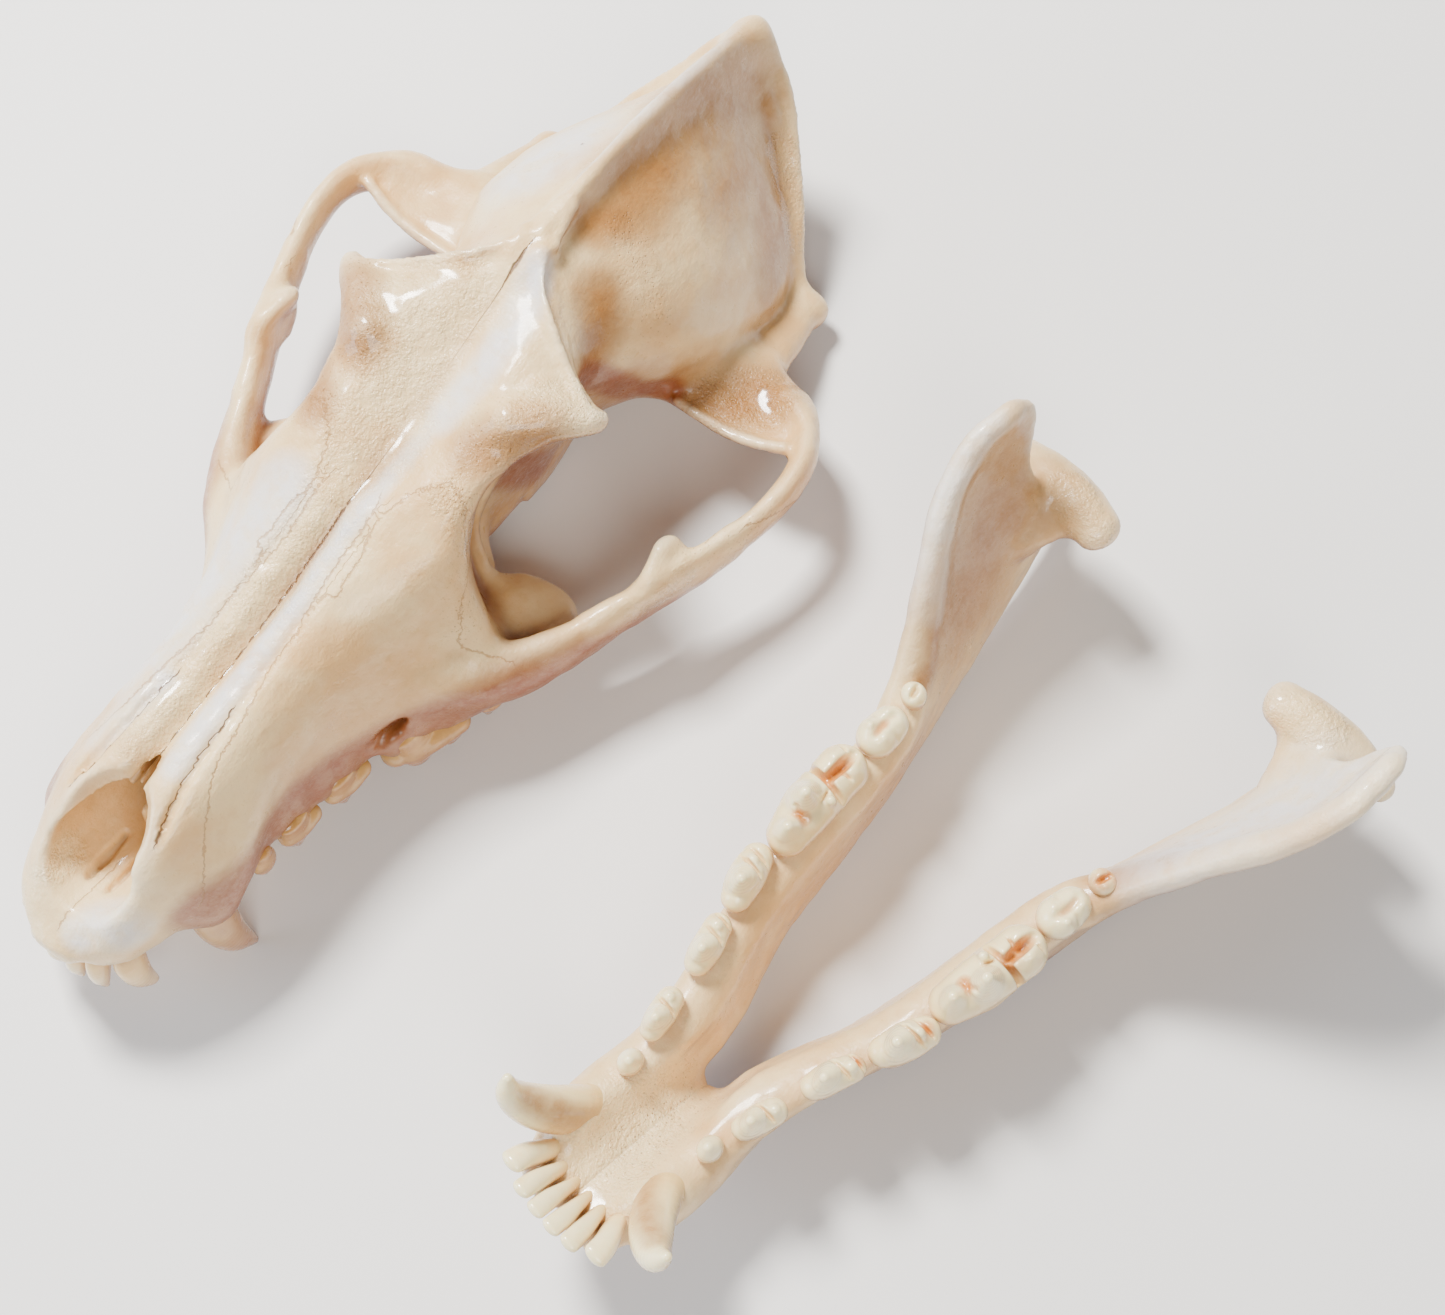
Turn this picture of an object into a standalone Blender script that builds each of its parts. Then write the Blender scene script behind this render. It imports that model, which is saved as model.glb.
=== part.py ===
"""A coyote skull: the cranium, and beside it the two halves of the lower jaw, all with their teeth.

The bone is shaped like clay. A block of voxels holds the distance to the surface, rounded parts are
added to it and cut from it, and its skin becomes the mesh. Only the right side is shaped; the left is
its mirror image. Cranium and jaw each have a frame of their own, in millimetres: x runs back from
the front teeth, y to the animal's right and z up. Two empties set these frames on the table.
"""
import math

import bpy
import numpy as np
import openvdb
from mathutils import Matrix, Vector

MM = 0.001

# How the two pieces lie: the cranium on its canines and ear capsules, nose towards -Y
CRANIUM_PITCH = math.radians(7.95)
CRANIUM_PLACE = (0.0, 0.0, 19.75)
JAW_TURN = math.radians(-11.9)
JAW_PLACE = (94.4, 13.7, -0.5)

# Clearances
SOCKET_GAP = 0.5
HALF_SEAM = 0.16

# Fineness of the voxels and of the finished meshes
BONE_VOXEL = 1.1
TOOTH_VOXEL = 0.45
CRANIUM_TRIANGLES = 3000
JAW_TRIANGLES = 680
TOOTH_TRIANGLES = 28
LOBE_TRIANGLES = 8

BONE_COLOUR = (0.68, 0.54, 0.37, 1.0)
TOOTH_COLOUR = (0.80, 0.72, 0.60, 1.0)

# Half sections of the cranium without its arches: x, then (y, z) from the top of the midline down
SECTIONS = {
    -1.5: [(0, 6), (2.5, 5.5), (4, 4), (3, 1.5), (0, 1)],
    3: [(0, 9), (4, 9.5), (8, 9), (10, 6), (9.6, 2), (6, 0.5), (0, 1)],
    8: [(0, 14), (4, 14.8), (9.3, 14), (12.3, 9.5), (12.9, 4.5), (11, 0.3), (7, 0.2), (0, 2)],
    14: [(0, 21), (5, 22), (10, 20), (13.4, 14), (14.8, 8), (14.2, 2), (8, 1), (0, 3)],
    20: [(0, 25.6), (5, 26.4), (9.8, 24.4), (14, 18), (16.9, 10.5), (17.8, 4), (15.6, -0.5), (10, 1),
        (0, 3.5)],
    27: [(0, 27.8), (5, 28.6), (9.8, 27), (14, 21), (17.2, 12.5), (18, 5), (15.6, -0.2), (9, 2), (0, 4)],
    35: [(0, 28.9), (4.6, 29.9), (9.8, 28.8), (13.8, 23), (16.2, 14.5), (16.9, 6.5), (15.6, 0.2), (9, 2),
        (0, 4.5)],
    45: [(0, 30.5), (4.4, 31.4), (9.6, 30.6), (13.8, 25), (16.4, 15.5), (17.6, 7), (17, 0.3), (10, 2),
        (0, 4.5)],
    55: [(0, 32.5), (4.2, 33.6), (9.4, 33), (14, 28), (17.2, 18.5), (19, 8.5), (18.8, 0.3), (12, 2),
        (0, 4.5)],
    65: [(0, 35), (4.2, 36.2), (9.6, 35.7), (15, 31.5), (19.4, 21), (23, 10), (24, 0.6), (15, 2), (0, 4)],
    75: [(0, 38.5), (4.4, 39.5), (10.4, 39.2), (16.8, 35.8), (22, 26), (27.4, 13), (28.8, 1), (16, 2),
        (0, 3.5)],
    83: [(0, 42), (5, 42.8), (12, 42.4), (18.2, 39.8), (23, 30), (29, 16), (30, 2), (17, 2), (0, 3)],
    91: [(0, 44.6), (6, 45.6), (12.5, 45.4), (17.2, 43.4), (18, 37), (17, 26), (18.5, 14), (27, 8.5),
        (29.6, 5.5), (28, 1.8), (17, 1), (0, 3)],
    99: [(0, 47.2), (7, 48.2), (13.5, 47.8), (18.2, 45.8), (17.4, 42.4), (11.6, 35), (9.4, 25), (9.6, 14),
        (13, 8.5), (16, 4), (12, 1), (0, 3)],
    106: [(0, 49.8), (7.5, 50.8), (14.8, 50), (20.4, 47.6), (19.8, 44.6), (14, 38), (10.4, 29), (9.6, 18),
        (9.6, 9), (9.6, 3), (8.4, 0.2), (6, 2), (0, 8)],
    113: [(0, 52.6), (8, 53.4), (16.4, 52), (24.2, 48.8), (24, 46), (17, 40), (12.4, 31), (11, 20),
        (10.2, 10), (9.8, 3), (8.4, 0), (6, 2), (0, 9)],
    121: [(0, 55.6), (6, 55.4), (12, 52.8), (16.4, 48.8), (17.4, 43.6), (15.6, 37), (13.8, 29),
        (12.4, 20), (11, 11), (9.6, 4), (8.6, 1), (6.5, 3), (0, 10)],
    129: [(0, 56.8), (4.5, 55), (9.4, 51.6), (14, 46.6), (16.6, 40), (17, 31), (15.2, 22), (11.8, 14),
        (9.4, 8), (8.8, 4), (6.5, 5), (0, 11)],
    136: [(0, 57.6), (3.4, 55), (9.6, 51), (15.4, 45.4), (19.2, 38.4), (20, 30), (18, 20), (14, 14),
        (9, 12), (0, 11.5)],
    144: [(0, 58.2), (3, 55.2), (10.4, 50.8), (17, 45.2), (22, 38.6), (24.4, 30), (23.4, 20), (17, 13),
        (9, 11.5), (0, 11)],
    153: [(0, 58.4), (3, 55), (10.4, 50.2), (17.4, 44.4), (22.8, 37.6), (26.4, 29), (26.6, 20),
        (21, 12.5), (10, 10.5), (0, 10)],
    163: [(0, 58), (3, 54.4), (9.4, 49.4), (15.8, 43.6), (21.4, 36.8), (25.8, 28.6), (27.8, 19.6),
        (23, 11.5), (10, 10), (0, 9.5)],
    172: [(0, 57), (3, 53.2), (8.2, 48), (13.6, 42.2), (19.2, 35.4), (24.4, 27.4), (27.8, 19), (24.5, 11),
        (10, 9.6), (0, 9.2)],
    180: [(0, 55.6), (2.8, 52), (6.4, 47.2), (10.8, 41.6), (15.6, 35), (20.4, 28), (25, 19), (23.5, 10.5),
        (10, 9.2), (0, 9)],
    187: [(0, 54), (2.6, 50.6), (5, 46.2), (8, 41), (11.8, 35), (15.8, 28.6), (20, 21), (19, 13),
        (9, 9.2), (0, 9)],
    192: [(0, 52.6), (2.6, 49.6), (4.4, 45.6), (6.8, 40.6), (9.8, 35), (12.6, 29), (12.6, 22), (10.6, 16),
        (8.4, 11), (5, 9.5), (0, 9.5)],
    196: [(0, 51.6), (2.6, 49), (4.2, 45.4), (6.4, 40.6), (8.4, 36), (7, 33), (4, 32.6), (0, 33)],
    199: [(0, 50.4), (2.4, 48.4), (3.6, 45.4), (3, 43.4), (0, 43)],
}

# Side outline of a jaw half as (x, z), then its middle surface and half thickness as (x, z, value)
SIDE = [(-1.5, 23), (0, 24.4), (4, 24.4), (10, 24.2), (16, 24), (24, 23.4), (40, 23.4), (55, 23.8),
    (70, 24.4), (85, 24.8), (98, 25.4), (104.5, 28.2), (110, 34), (116, 41), (122, 48), (128, 52.4),
    (134, 55), (140, 55.8), (144, 54.4), (146.4, 51), (146.5, 47), (144, 41), (143.5, 36), (145.5, 31.5),
    (150, 29), (151, 25), (148, 21), (146, 17), (149, 13), (155, 11), (157, 8.6), (154, 6.4), (147, 6),
    (138, 5), (128, 3.4), (115, 1.4), (100, 0.2), (85, 0), (60, 1), (45, 3), (33, 6), (20, 10.5),
    (10, 16), (2, 20)]
MIDDLE = [(0, 22, 4.5), (10, 18, 6), (10, 25, 7), (20, 12, 6.3), (20, 24, 8), (33, 7, 6.6), (33, 24, 9.6),
    (46, 4, 9), (46, 24, 12.8), (57, 1, 13.4), (57, 24, 16.4), (72, 0, 16.2), (72, 25, 18.4),
    (86, 0, 19.2), (86, 25, 19.9), (98, 0, 21.2), (98, 26, 21.4), (107, 0, 23), (107, 13, 23.4),
    (107, 26, 26), (107, 31, 28), (115, 1, 24.8), (115, 13, 25.2), (115, 26, 28.6), (115, 39, 33.6),
    (123, 2, 26.4), (123, 13, 27), (123, 26, 31), (123, 47, 39.4), (131, 4, 28.4), (131, 13, 29),
    (131, 26, 32.2), (131, 40, 38), (131, 54, 42), (139, 5, 30.5), (139, 13, 31), (139, 26, 33),
    (139, 40, 38.2), (139, 56, 42.2), (147, 6, 33), (147, 14, 33), (147, 28, 33.5), (146, 52, 41.5),
    (155, 9, 36.5)]
THICK = [(0, 22, 6.5), (10, 18, 7), (20, 14, 7), (20, 24, 6), (33, 8, 5.8), (33, 22, 4.8), (46, 5, 5.2),
    (46, 22, 4.2), (60, 3, 5), (60, 20, 4.2), (78, 3, 4.8), (78, 20, 4.5), (96, 3, 4.4), (96, 20, 4.4),
    (107, 4, 3.6), (107, 28, 3.2), (115, 5, 3.2), (115, 15, 2.6), (115, 38, 2.4), (123, 5, 2.8),
    (123, 16, 2.2), (123, 30, 1.8), (123, 47, 1.8), (131, 6, 2.6), (131, 16, 2.1), (131, 40, 1.5),
    (131, 54, 1.5), (139, 8, 2.4), (139, 20, 2.4), (139, 40, 1.4), (139, 56, 1.4), (147, 8, 2.2),
    (147, 28, 2.8), (146, 52, 1.4), (155, 9, 1.8)]
# How wide the rounded edge of the jaw is, as (x, z, value)
EDGE = [(0, 22, 4), (20, 16, 6), (33, 8, 5), (33, 22, 4), (60, 3, 7), (60, 22, 4), (96, 3, 6),
    (96, 22, 4), (107, 15, 4), (115, 5, 4), (115, 38, 2.6), (131, 6, 3), (131, 40, 1.6), (139, 56, 1.6),
    (147, 8, 2.4), (147, 28, 2.4), (155, 9, 2)]

# Teeth: how softly the lobes blend, then lobes of (x, y, z, half length, half width)
UPPER = {
    'incisor_1': (0.5, [
        [(2.8, 2, 4, 2.2, 1.5), (1.4, 2.05, -0.5, 2.3, 1.75), (0.2, 2.15, -3.6, 1.7, 1.8),
         (-0.2, 2.2, -6.2, 0.8, 1.7)],
    ]),
    'incisor_2': (0.5, [
        [(3.6, 5.6, 4, 2.3, 1.6), (2.2, 6, -0.5, 2.5, 1.85), (1.2, 6.4, -3.8, 1.9, 1.9),
         (0.9, 6.5, -6.8, 0.9, 1.7)],
    ]),
    'incisor_3': (0.5, [
        [(6.6, 9.2, 4, 2.8, 1.8), (5.4, 10.2, -0.5, 3.1, 2.2), (5.2, 11.4, -4.6, 2.5, 2),
         (6.2, 12.4, -8, 1.4, 1.3), (7, 12.7, -9.6, 0.6, 0.6)],
    ]),
    'canine': (0.5, [
        [(20.4, 14.6, 6.5, 4, 3), (19.8, 16, 0, 4.2, 3.1), (19.9, 17.4, -4.5, 3.8, 2.8),
         (20.8, 18.6, -9.5, 2.9, 2.2), (22.3, 19.3, -13.4, 1.8, 1.5), (23.4, 19.6, -16.2, 0.9, 0.9)],
    ]),
    'premolar_1': (0.5, [
        [(32.4, 16.4, 3, 2, 1.6), (32.4, 16.6, -0.8, 2.6, 1.8), (32, 16.7, -4.4, 0.8, 0.7)],
    ]),
    'premolar_2': (0.8, [
        [(38.6, 16.9, -0.8, 2.2, 1.9), (41.2, 17.2, -1.2, 2.4, 2.1), (44.2, 17.5, -0.8, 2, 1.8)],
        [(40.4, 17.1, 3, 3.2, 1.6), (40.4, 17.1, -1.5, 3.4, 1.9), (40.2, 17.2, -6.6, 0.8, 0.7)],
    ]),
    'premolar_3': (0.8, [
        [(49.4, 18, -0.8, 2.4, 2), (52.6, 18.4, -1.3, 2.6, 2.3), (56, 18.9, -0.9, 2.2, 1.9)],
        [(51.8, 18.2, 3, 3.6, 1.7), (51.8, 18.2, -1.5, 3.8, 2), (51.4, 18.4, -7, 0.8, 0.7)],
    ]),
    'premolar_4': (1, [
        [(62.4, 21.6, -1.5, 3, 2.8), (68, 23.8, -2, 3.6, 3.4), (73.8, 26.7, -1.6, 2.7, 2.4)],
        [(66.6, 22.6, 3.5, 5.4, 2.4), (66.4, 23.4, -3, 4.4, 3), (65.9, 23.8, -8.9, 1, 0.9)],
        [(73.2, 26.4, -1.5, 3.4, 2.2), (73, 26.6, -6.6, 2.4, 0.9)],
        [(62.4, 18.6, 0.5, 2, 2), (62.2, 18.4, -3.4, 1.2, 1.2)],
    ]),
    'molar_1': (1.2, [
        [(80.9, 27.6, -0.4, 3.9, 3.6), (85.2, 27.2, -0.6, 4, 3.4)],
        [(82.8, 21.6, -0.2, 4.4, 4.4), (82.4, 20.2, -2.2, 2.6, 2.4)],
        [(82.6, 24.4, 4, 4.2, 4.2), (82.6, 24.4, 0, 4.4, 5.6)],
        [(80.6, 28.2, -2, 2.6, 2.2), (80.4, 28.4, -6.2, 0.9, 0.9)],
        [(86, 27.6, -2, 2.2, 2), (86, 27.6, -5.4, 0.9, 0.9)],
        [(82.4, 19.4, -2, 1.8, 1.6), (82.4, 19.4, -3.8, 0.9, 0.9)],
    ]),
    'molar_2': (1, [
        [(93.4, 24.4, 3, 2.2, 3), (93.4, 24.2, -0.6, 2.7, 3.6)],
        [(93.2, 20.4, -0.2, 2.2, 2.2), (93.2, 20.2, -1.4, 1.8, 1.8)],
        [(93.4, 26.2, -1.6, 1.8, 1.6), (93.4, 26.2, -3.2, 0.8, 0.8)],
    ]),
}

LOWER = {
    'incisor_1': (0.4, [
        [(6, 1.45, 19.5, 1.8, 1), (3.2, 1.6, 24.2, 1.9, 1.2), (-0.2, 1.85, 27.8, 1.6, 1.7),
         (-2.6, 1.88, 30, 0.9, 1.76)],
    ]),
    'incisor_2': (0.4, [
        [(6.4, 4.4, 19.5, 1.9, 1.1), (3.6, 4.8, 24.4, 2, 1.3), (0.2, 5.45, 28.2, 1.8, 1.75),
         (-2.1, 5.65, 30.4, 1, 1.8)],
    ]),
    'incisor_3': (0.4, [
        [(7.25, 7.4, 20.5, 2, 1.4), (4.9, 8.1, 24.6, 2.3, 1.6), (1.9, 9.5, 28, 2.1, 2.1),
         (-0.3, 9.9, 30.2, 1.2, 2.2)],
    ]),
    'canine': (0.5, [
        [(18, 8.8, 17.5, 3.6, 3), (13.4, 9.6, 23.6, 4.4, 3.5), (9.6, 12.2, 29, 4.1, 3.3),
         (7.2, 15, 33.2, 3.4, 2.9), (6.4, 17.2, 37.2, 2.4, 2.2), (7.4, 18.4, 41.2, 0.9, 0.9)],
    ]),
    'premolar_1': (0.4, [
        [(24.4, 9.6, 20.5, 1.9, 1.76), (24.4, 9.6, 24.6, 2.5, 2.09), (24.2, 9.5, 27.6, 1, 0.99)],
    ]),
    'premolar_2': (0.8, [
        [(30.6, 10.95, 25.5, 2.01, 2.09), (33, 11.65, 25.9, 2.33, 2.44), (36, 12.45, 25.7, 2.12, 2.32)],
        [(33, 11.55, 20.5, 3.18, 1.97), (32.6, 11.45, 26.5, 3.39, 2.2), (31.9, 11.35, 30.4, 0.95, 0.93)],
        [(36, 12.55, 25.5, 1.91, 1.97), (36, 12.55, 27.9, 1.06, 1.04)],
    ]),
    'premolar_3': (0.8, [
        [(43.6, 13.95, 25.5, 2.23, 2.32), (46.4, 14.75, 26.1, 2.54, 2.67), (50, 16.05, 25.8, 2.23, 2.44)],
        [(46.4, 14.75, 20.5, 3.6, 2.09), (46, 14.65, 26.5, 3.82, 2.44), (45.1, 14.45, 31, 0.95, 0.93)],
        [(49.8, 15.95, 26, 2.12, 2.09), (49.8, 15.95, 28.2, 1.17, 1.16)],
    ]),
    'premolar_4': (0.8, [
        [(55.8, 17.65, 25.7, 2.54, 2.67), (59.4, 18.95, 26.3, 3.07, 3.25),
         (62.8, 20.05, 26.1, 2.12, 2.78)],
        [(59.2, 18.85, 20.5, 4.24, 2.44), (58.8, 18.75, 26.9, 4.24, 2.9), (57.6, 18.45, 32, 1.06, 1.04)],
        [(61.4, 19.65, 26.5, 2.33, 2.32), (61.4, 19.65, 29.6, 1.06, 1.16)],
        [(63.6, 20.25, 26.5, 1.17, 1.86), (63.6, 20.25, 28, 0.85, 1.04)],
    ]),
    'molar_1': (1, [
        [(69.4, 19.45, 26.1, 3.82, 3.71), (75, 20.45, 26.5, 4.66, 4.52), (83.9, 21.35, 26.5, 4, 4.52)],
        [(76, 20.45, 20, 7.42, 3.25), (76, 20.45, 25.5, 8.06, 3.94)],
        [(75.4, 21.25, 27, 4.66, 3.94), (75, 21.35, 31, 3.18, 2.55), (74.8, 21.25, 35.4, 1.06, 1.04)],
        [(70, 19.75, 27, 3.82, 3.25), (69.6, 19.55, 29.6, 2.76, 2.2), (69.2, 19.45, 32.4, 1.06, 1.04)],
        [(77.6, 18.25, 28, 1.59, 1.62), (77.8, 18.05, 31, 0.85, 0.93)],
        [(83.6, 23.25, 27, 2.97, 2.55), (83.6, 23.05, 30, 1.27, 1.28)],
        [(84.4, 19.25, 27, 2.76, 2.32), (84.4, 19.45, 29.6, 1.17, 1.16)],
    ]),
    'molar_2': (1, [
        [(92.5, 21.55, 26.1, 2.76, 3.71), (95.7, 21.75, 25.9, 2.76, 3.36)],
        [(94.1, 21.65, 20.5, 3.18, 2.78), (94.1, 21.65, 25.5, 3.82, 3.48)],
        [(92.3, 23.35, 27.5, 1.7, 1.62), (92.3, 23.15, 29.4, 0.85, 0.93)],
        [(92.5, 20.05, 27.5, 1.59, 1.51), (92.5, 20.25, 29, 0.85, 0.93)],
        [(96.3, 22.85, 27.1, 1.59, 1.51), (96.3, 22.75, 28.6, 0.85, 0.93)],
        [(96.3, 20.65, 27.1, 1.48, 1.39), (96.3, 20.75, 28.2, 0.85, 0.93)],
    ]),
    'molar_3': (0.8, [
        [(102.1, 22.45, 22, 1.8, 1.97), (102.1, 22.45, 27.1, 2.23, 2.44),
         (102.1, 22.45, 27.9, 2.01, 2.2)],
        [(102.1, 22.85, 27.5, 1.27, 1.39), (102.1, 22.85, 28.8, 0.74, 0.81)],
    ]),
}


def smooth_min(a, b, blend):
    """The lesser of two distances, rounded where they meet."""
    if blend <= 0:
        return np.minimum(a, b)
    near = np.maximum(blend - np.abs(a - b), 0.0) / blend
    return np.minimum(a, b) - near * near * blend * 0.25


def spline(rows, count):
    """Rows along a smooth curve through the given rows of any width."""
    rows = np.asarray(rows, float)
    rows = np.vstack([2 * rows[0] - rows[1], rows, 2 * rows[-1] - rows[-2]])
    spans = len(rows) - 3
    curve = []
    for place in np.linspace(0, spans, count):
        i = min(int(place), spans - 1)
        t = place - i
        a, b, c, d = rows[i:i + 4]
        bend = (2 * a - 5 * b + 4 * c - d) * t ** 2 + (3 * b - a - 3 * c + d) * t ** 3
        curve.append(0.5 * (2 * b + (c - a) * t + bend))
    return np.array(curve)


def outline_distance(outline, u, v):
    """Distance in a plane to a closed outline, negative inside."""
    nearest = np.full(np.broadcast(u, v).shape, 1e9)
    inside = np.zeros(nearest.shape, bool)
    for (au, av), (bu, bv) in zip(outline, np.roll(outline, -1, axis=0)):
        eu, ev = bu - au, bv - av
        along = ((u - au) * eu + (v - av) * ev) / max(eu * eu + ev * ev, 1e-12)
        along = np.clip(along, 0, 1)
        nearest = np.minimum(nearest, (u - au - along * eu) ** 2 + (v - av - along * ev) ** 2)
        if av != bv:
            inside ^= ((av > v) != (bv > v)) & (u < eu * (v - av) / ev + au)
    return np.where(inside, -1, 1) * np.sqrt(nearest)


def surface(rows):
    """A smooth function of (x, z) through rows of (x, z, value)."""
    rows = np.asarray(rows, float)
    points = rows[:, :2]
    n = len(rows)
    system = np.zeros((n + 3, n + 3))
    system[:n, :n] = np.sqrt(((points[:, None] - points[None]) ** 2).sum(2))
    system[:n, n] = system[n, :n] = 1
    system[:n, n + 1:] = points
    system[n + 1:, :n] = points.T
    weights = np.linalg.solve(system, np.concatenate([rows[:, 2], np.zeros(3)]))

    def value(x, z):
        total = weights[n] + weights[n + 1] * x + weights[n + 2] * z
        for (px, pz), weight in zip(points, weights):
            total = total + weight * np.sqrt((x - px) ** 2 + (z - pz) ** 2)
        return total
    return value


class Clay:
    """A block of voxels that holds the distance to a surface, negative inside it."""

    def __init__(self, low, high, voxel):
        self.low = np.asarray(low, float)
        self.voxel = voxel
        count = np.ceil((np.asarray(high, float) - self.low) / voxel).astype(int) + 1
        self.field = np.full(count, 60.0, np.float32)
        self.axes = [(self.low[i] + voxel * np.arange(count[i])).astype(np.float32) for i in range(3)]

    def window(self, low, high):
        """The voxels between two corners, as slices and as coordinates."""
        shape = self.field.shape
        first = np.clip(np.floor((np.asarray(low) - self.low) / self.voxel).astype(int), 0, shape)
        last = np.clip(np.ceil((np.asarray(high) - self.low) / self.voxel).astype(int) + 1, 0, shape)
        part = tuple(slice(a, b) for a, b in zip(first, last))
        x = self.axes[0][part[0]][:, None, None]
        y = self.axes[1][part[1]][None, :, None]
        z = self.axes[2][part[2]][None, None, :]
        return part, x, y, z

    def put(self, part, distance, blend, cut):
        """Add a shape's distance to the block, or cut it out."""
        if cut:
            self.field[part] = -smooth_min(-self.field[part], distance, blend)
        else:
            self.field[part] = smooth_min(self.field[part], distance, blend)

    def ellipsoid(self, centre, radii, blend, turn=0.0, cut=False):
        """An ellipsoid, turned about the upright by an angle."""
        centre = np.asarray(centre, float)
        reach = max(radii) + blend + 2
        part, x, y, z = self.window(centre - reach, centre + reach)
        dx, dy, dz = x - centre[0], y - centre[1], z - centre[2]
        c, s = math.cos(turn), math.sin(turn)
        local = (c * dx + s * dy, -s * dx + c * dy, dz)
        size = np.sqrt(sum((p / r) ** 2 for p, r in zip(local, radii)))
        slope = np.sqrt(sum((p / r ** 2) ** 2 for p, r in zip(local, radii)))
        distance = size * (size - 1) / np.maximum(slope, 1e-6)
        self.put(part, distance.astype(np.float32), blend, cut)

    def strand(self, rows, blend, tall=(0, 0, 1), cut=False):
        """A tube through rows of (x, y, z, half height, half thickness); tall is the height's way."""
        rows = np.asarray(rows, float)
        if rows.shape[1] == 4:
            rows = np.hstack([rows, rows[:, 3:4]])
        curve = spline(rows, (len(rows) - 1) * 5 + 1)
        reach = curve[:, 3:].max() + blend + 2
        part, x, y, z = self.window(curve[:, :3].min(0) - reach, curve[:, :3].max(0) + reach)
        total = np.full(self.field[part].shape, 60.0, np.float32)
        for a, b in zip(curve[:-1], curve[1:]):
            step = b[:3] - a[:3]
            length = np.linalg.norm(step)
            way = step / length
            up = np.asarray(tall, float) - way * (np.asarray(tall, float) @ way)
            up /= np.linalg.norm(up)
            side = np.cross(way, up)
            near = max(a[3], a[4], b[3], b[4]) + blend + 2
            low = np.minimum(a[:3], b[:3]) - near
            sub, sx, sy, sz = self.window(low, np.maximum(a[:3], b[:3]) + near)
            if any(s.stop <= s.start for s in sub):
                continue
            wx, wy, wz = sx - a[0], sy - a[1], sz - a[2]
            t = np.clip((wx * way[0] + wy * way[1] + wz * way[2]) / length, 0, 1)
            qx, qy, qz = wx - t * step[0], wy - t * step[1], wz - t * step[2]
            half_up = a[3] + (b[3] - a[3]) * t
            half_side = a[4] + (b[4] - a[4]) * t
            half_way = np.minimum(half_up, half_side)
            size = 0.0
            slope = 0.0
            for axis, half in ((up, half_up), (side, half_side), (way, half_way)):
                q = (qx * axis[0] + qy * axis[1] + qz * axis[2]) / half
                size = size + q * q
                slope = slope + (q / half) ** 2
            size = np.sqrt(size)
            distance = size * (size - 1) / np.maximum(np.sqrt(slope), 1e-6)
            local = tuple(slice(s.start - p.start, s.stop - p.start) for s, p in zip(sub, part))
            total[local] = np.minimum(total[local], distance)
        self.put(part, total, blend, cut)

    def loft(self, sections, count=40):
        """Half sections across x, blended smoothly from each to the next."""
        xs = np.array(sorted(sections))
        y = self.axes[1][:, None].astype(float)
        z = self.axes[2][None, :].astype(float)
        faces = []
        for x in xs:
            half = spline(sections[x], count)
            other = half[::-1] * (-1, 1)
            faces.append(outline_distance(np.vstack([half, other[np.abs(other[:, 0]) > 1e-6]]), y, z))
        faces = np.array(faces)
        slopes = np.gradient(faces, xs, axis=0)
        for i, x in enumerate(self.axes[0]):
            if x < xs[0] or x > xs[-1]:
                end = 0 if x < xs[0] else -1
                beyond = abs(x - xs[end])
                self.field[i] = np.sqrt(np.maximum(faces[end], 0) ** 2 + beyond ** 2)
                continue
            k = min(int(np.searchsorted(xs, x, side='right')) - 1, len(xs) - 2)
            h = xs[k + 1] - xs[k]
            t = (x - xs[k]) / h
            start = (1 + 2 * t) * (1 - t) ** 2 * faces[k] + t * (1 - t) ** 2 * h * slopes[k]
            finish = t * t * (3 - 2 * t) * faces[k + 1] + t * t * (t - 1) * h * slopes[k + 1]
            self.field[i] = start + finish

    def mirror(self):
        """The same block on the other side of y = 0."""
        other = Clay(self.low, self.low, self.voxel)
        other.field = self.field[:, ::-1, :]
        other.axes = [self.axes[0], -self.axes[1][::-1], self.axes[2]]
        other.low = np.array([self.low[0], other.axes[1][0], self.low[2]])
        return other

    def whole(self):
        """The block joined to its mirror image; it must start at y = 0."""
        full = self.mirror()
        full.field = np.concatenate([full.field[:, :-1, :], self.field], axis=1)
        return full

    def mesh(self, name):
        """The skin of the clay, in metres."""
        band = 3 * self.voxel
        field = np.clip(self.field, -band, band).astype(np.float32)
        for axis in range(3):
            np.moveaxis(field, axis, 0)[[0, -1]] = band
        grid = openvdb.FloatGrid(band)
        grid.copyFromArray(field, tolerance=0.0)
        points, quads = grid.convertToQuads(0.0)
        points = (points * self.voxel + self.low) * MM
        mesh = bpy.data.meshes.new(name)
        mesh.from_pydata(points.tolist(), [], quads.tolist())
        return mesh


def shape_cranium(voxel):
    """The right half of the cranium."""
    clay = Clay((-6, 0, -4), (206, 58, 64), voxel)
    clay.loft(SECTIONS)
    add_brow_and_crests(clay)
    add_arch(clay)
    add_base(clay)
    cut_face(clay)
    return clay


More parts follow.
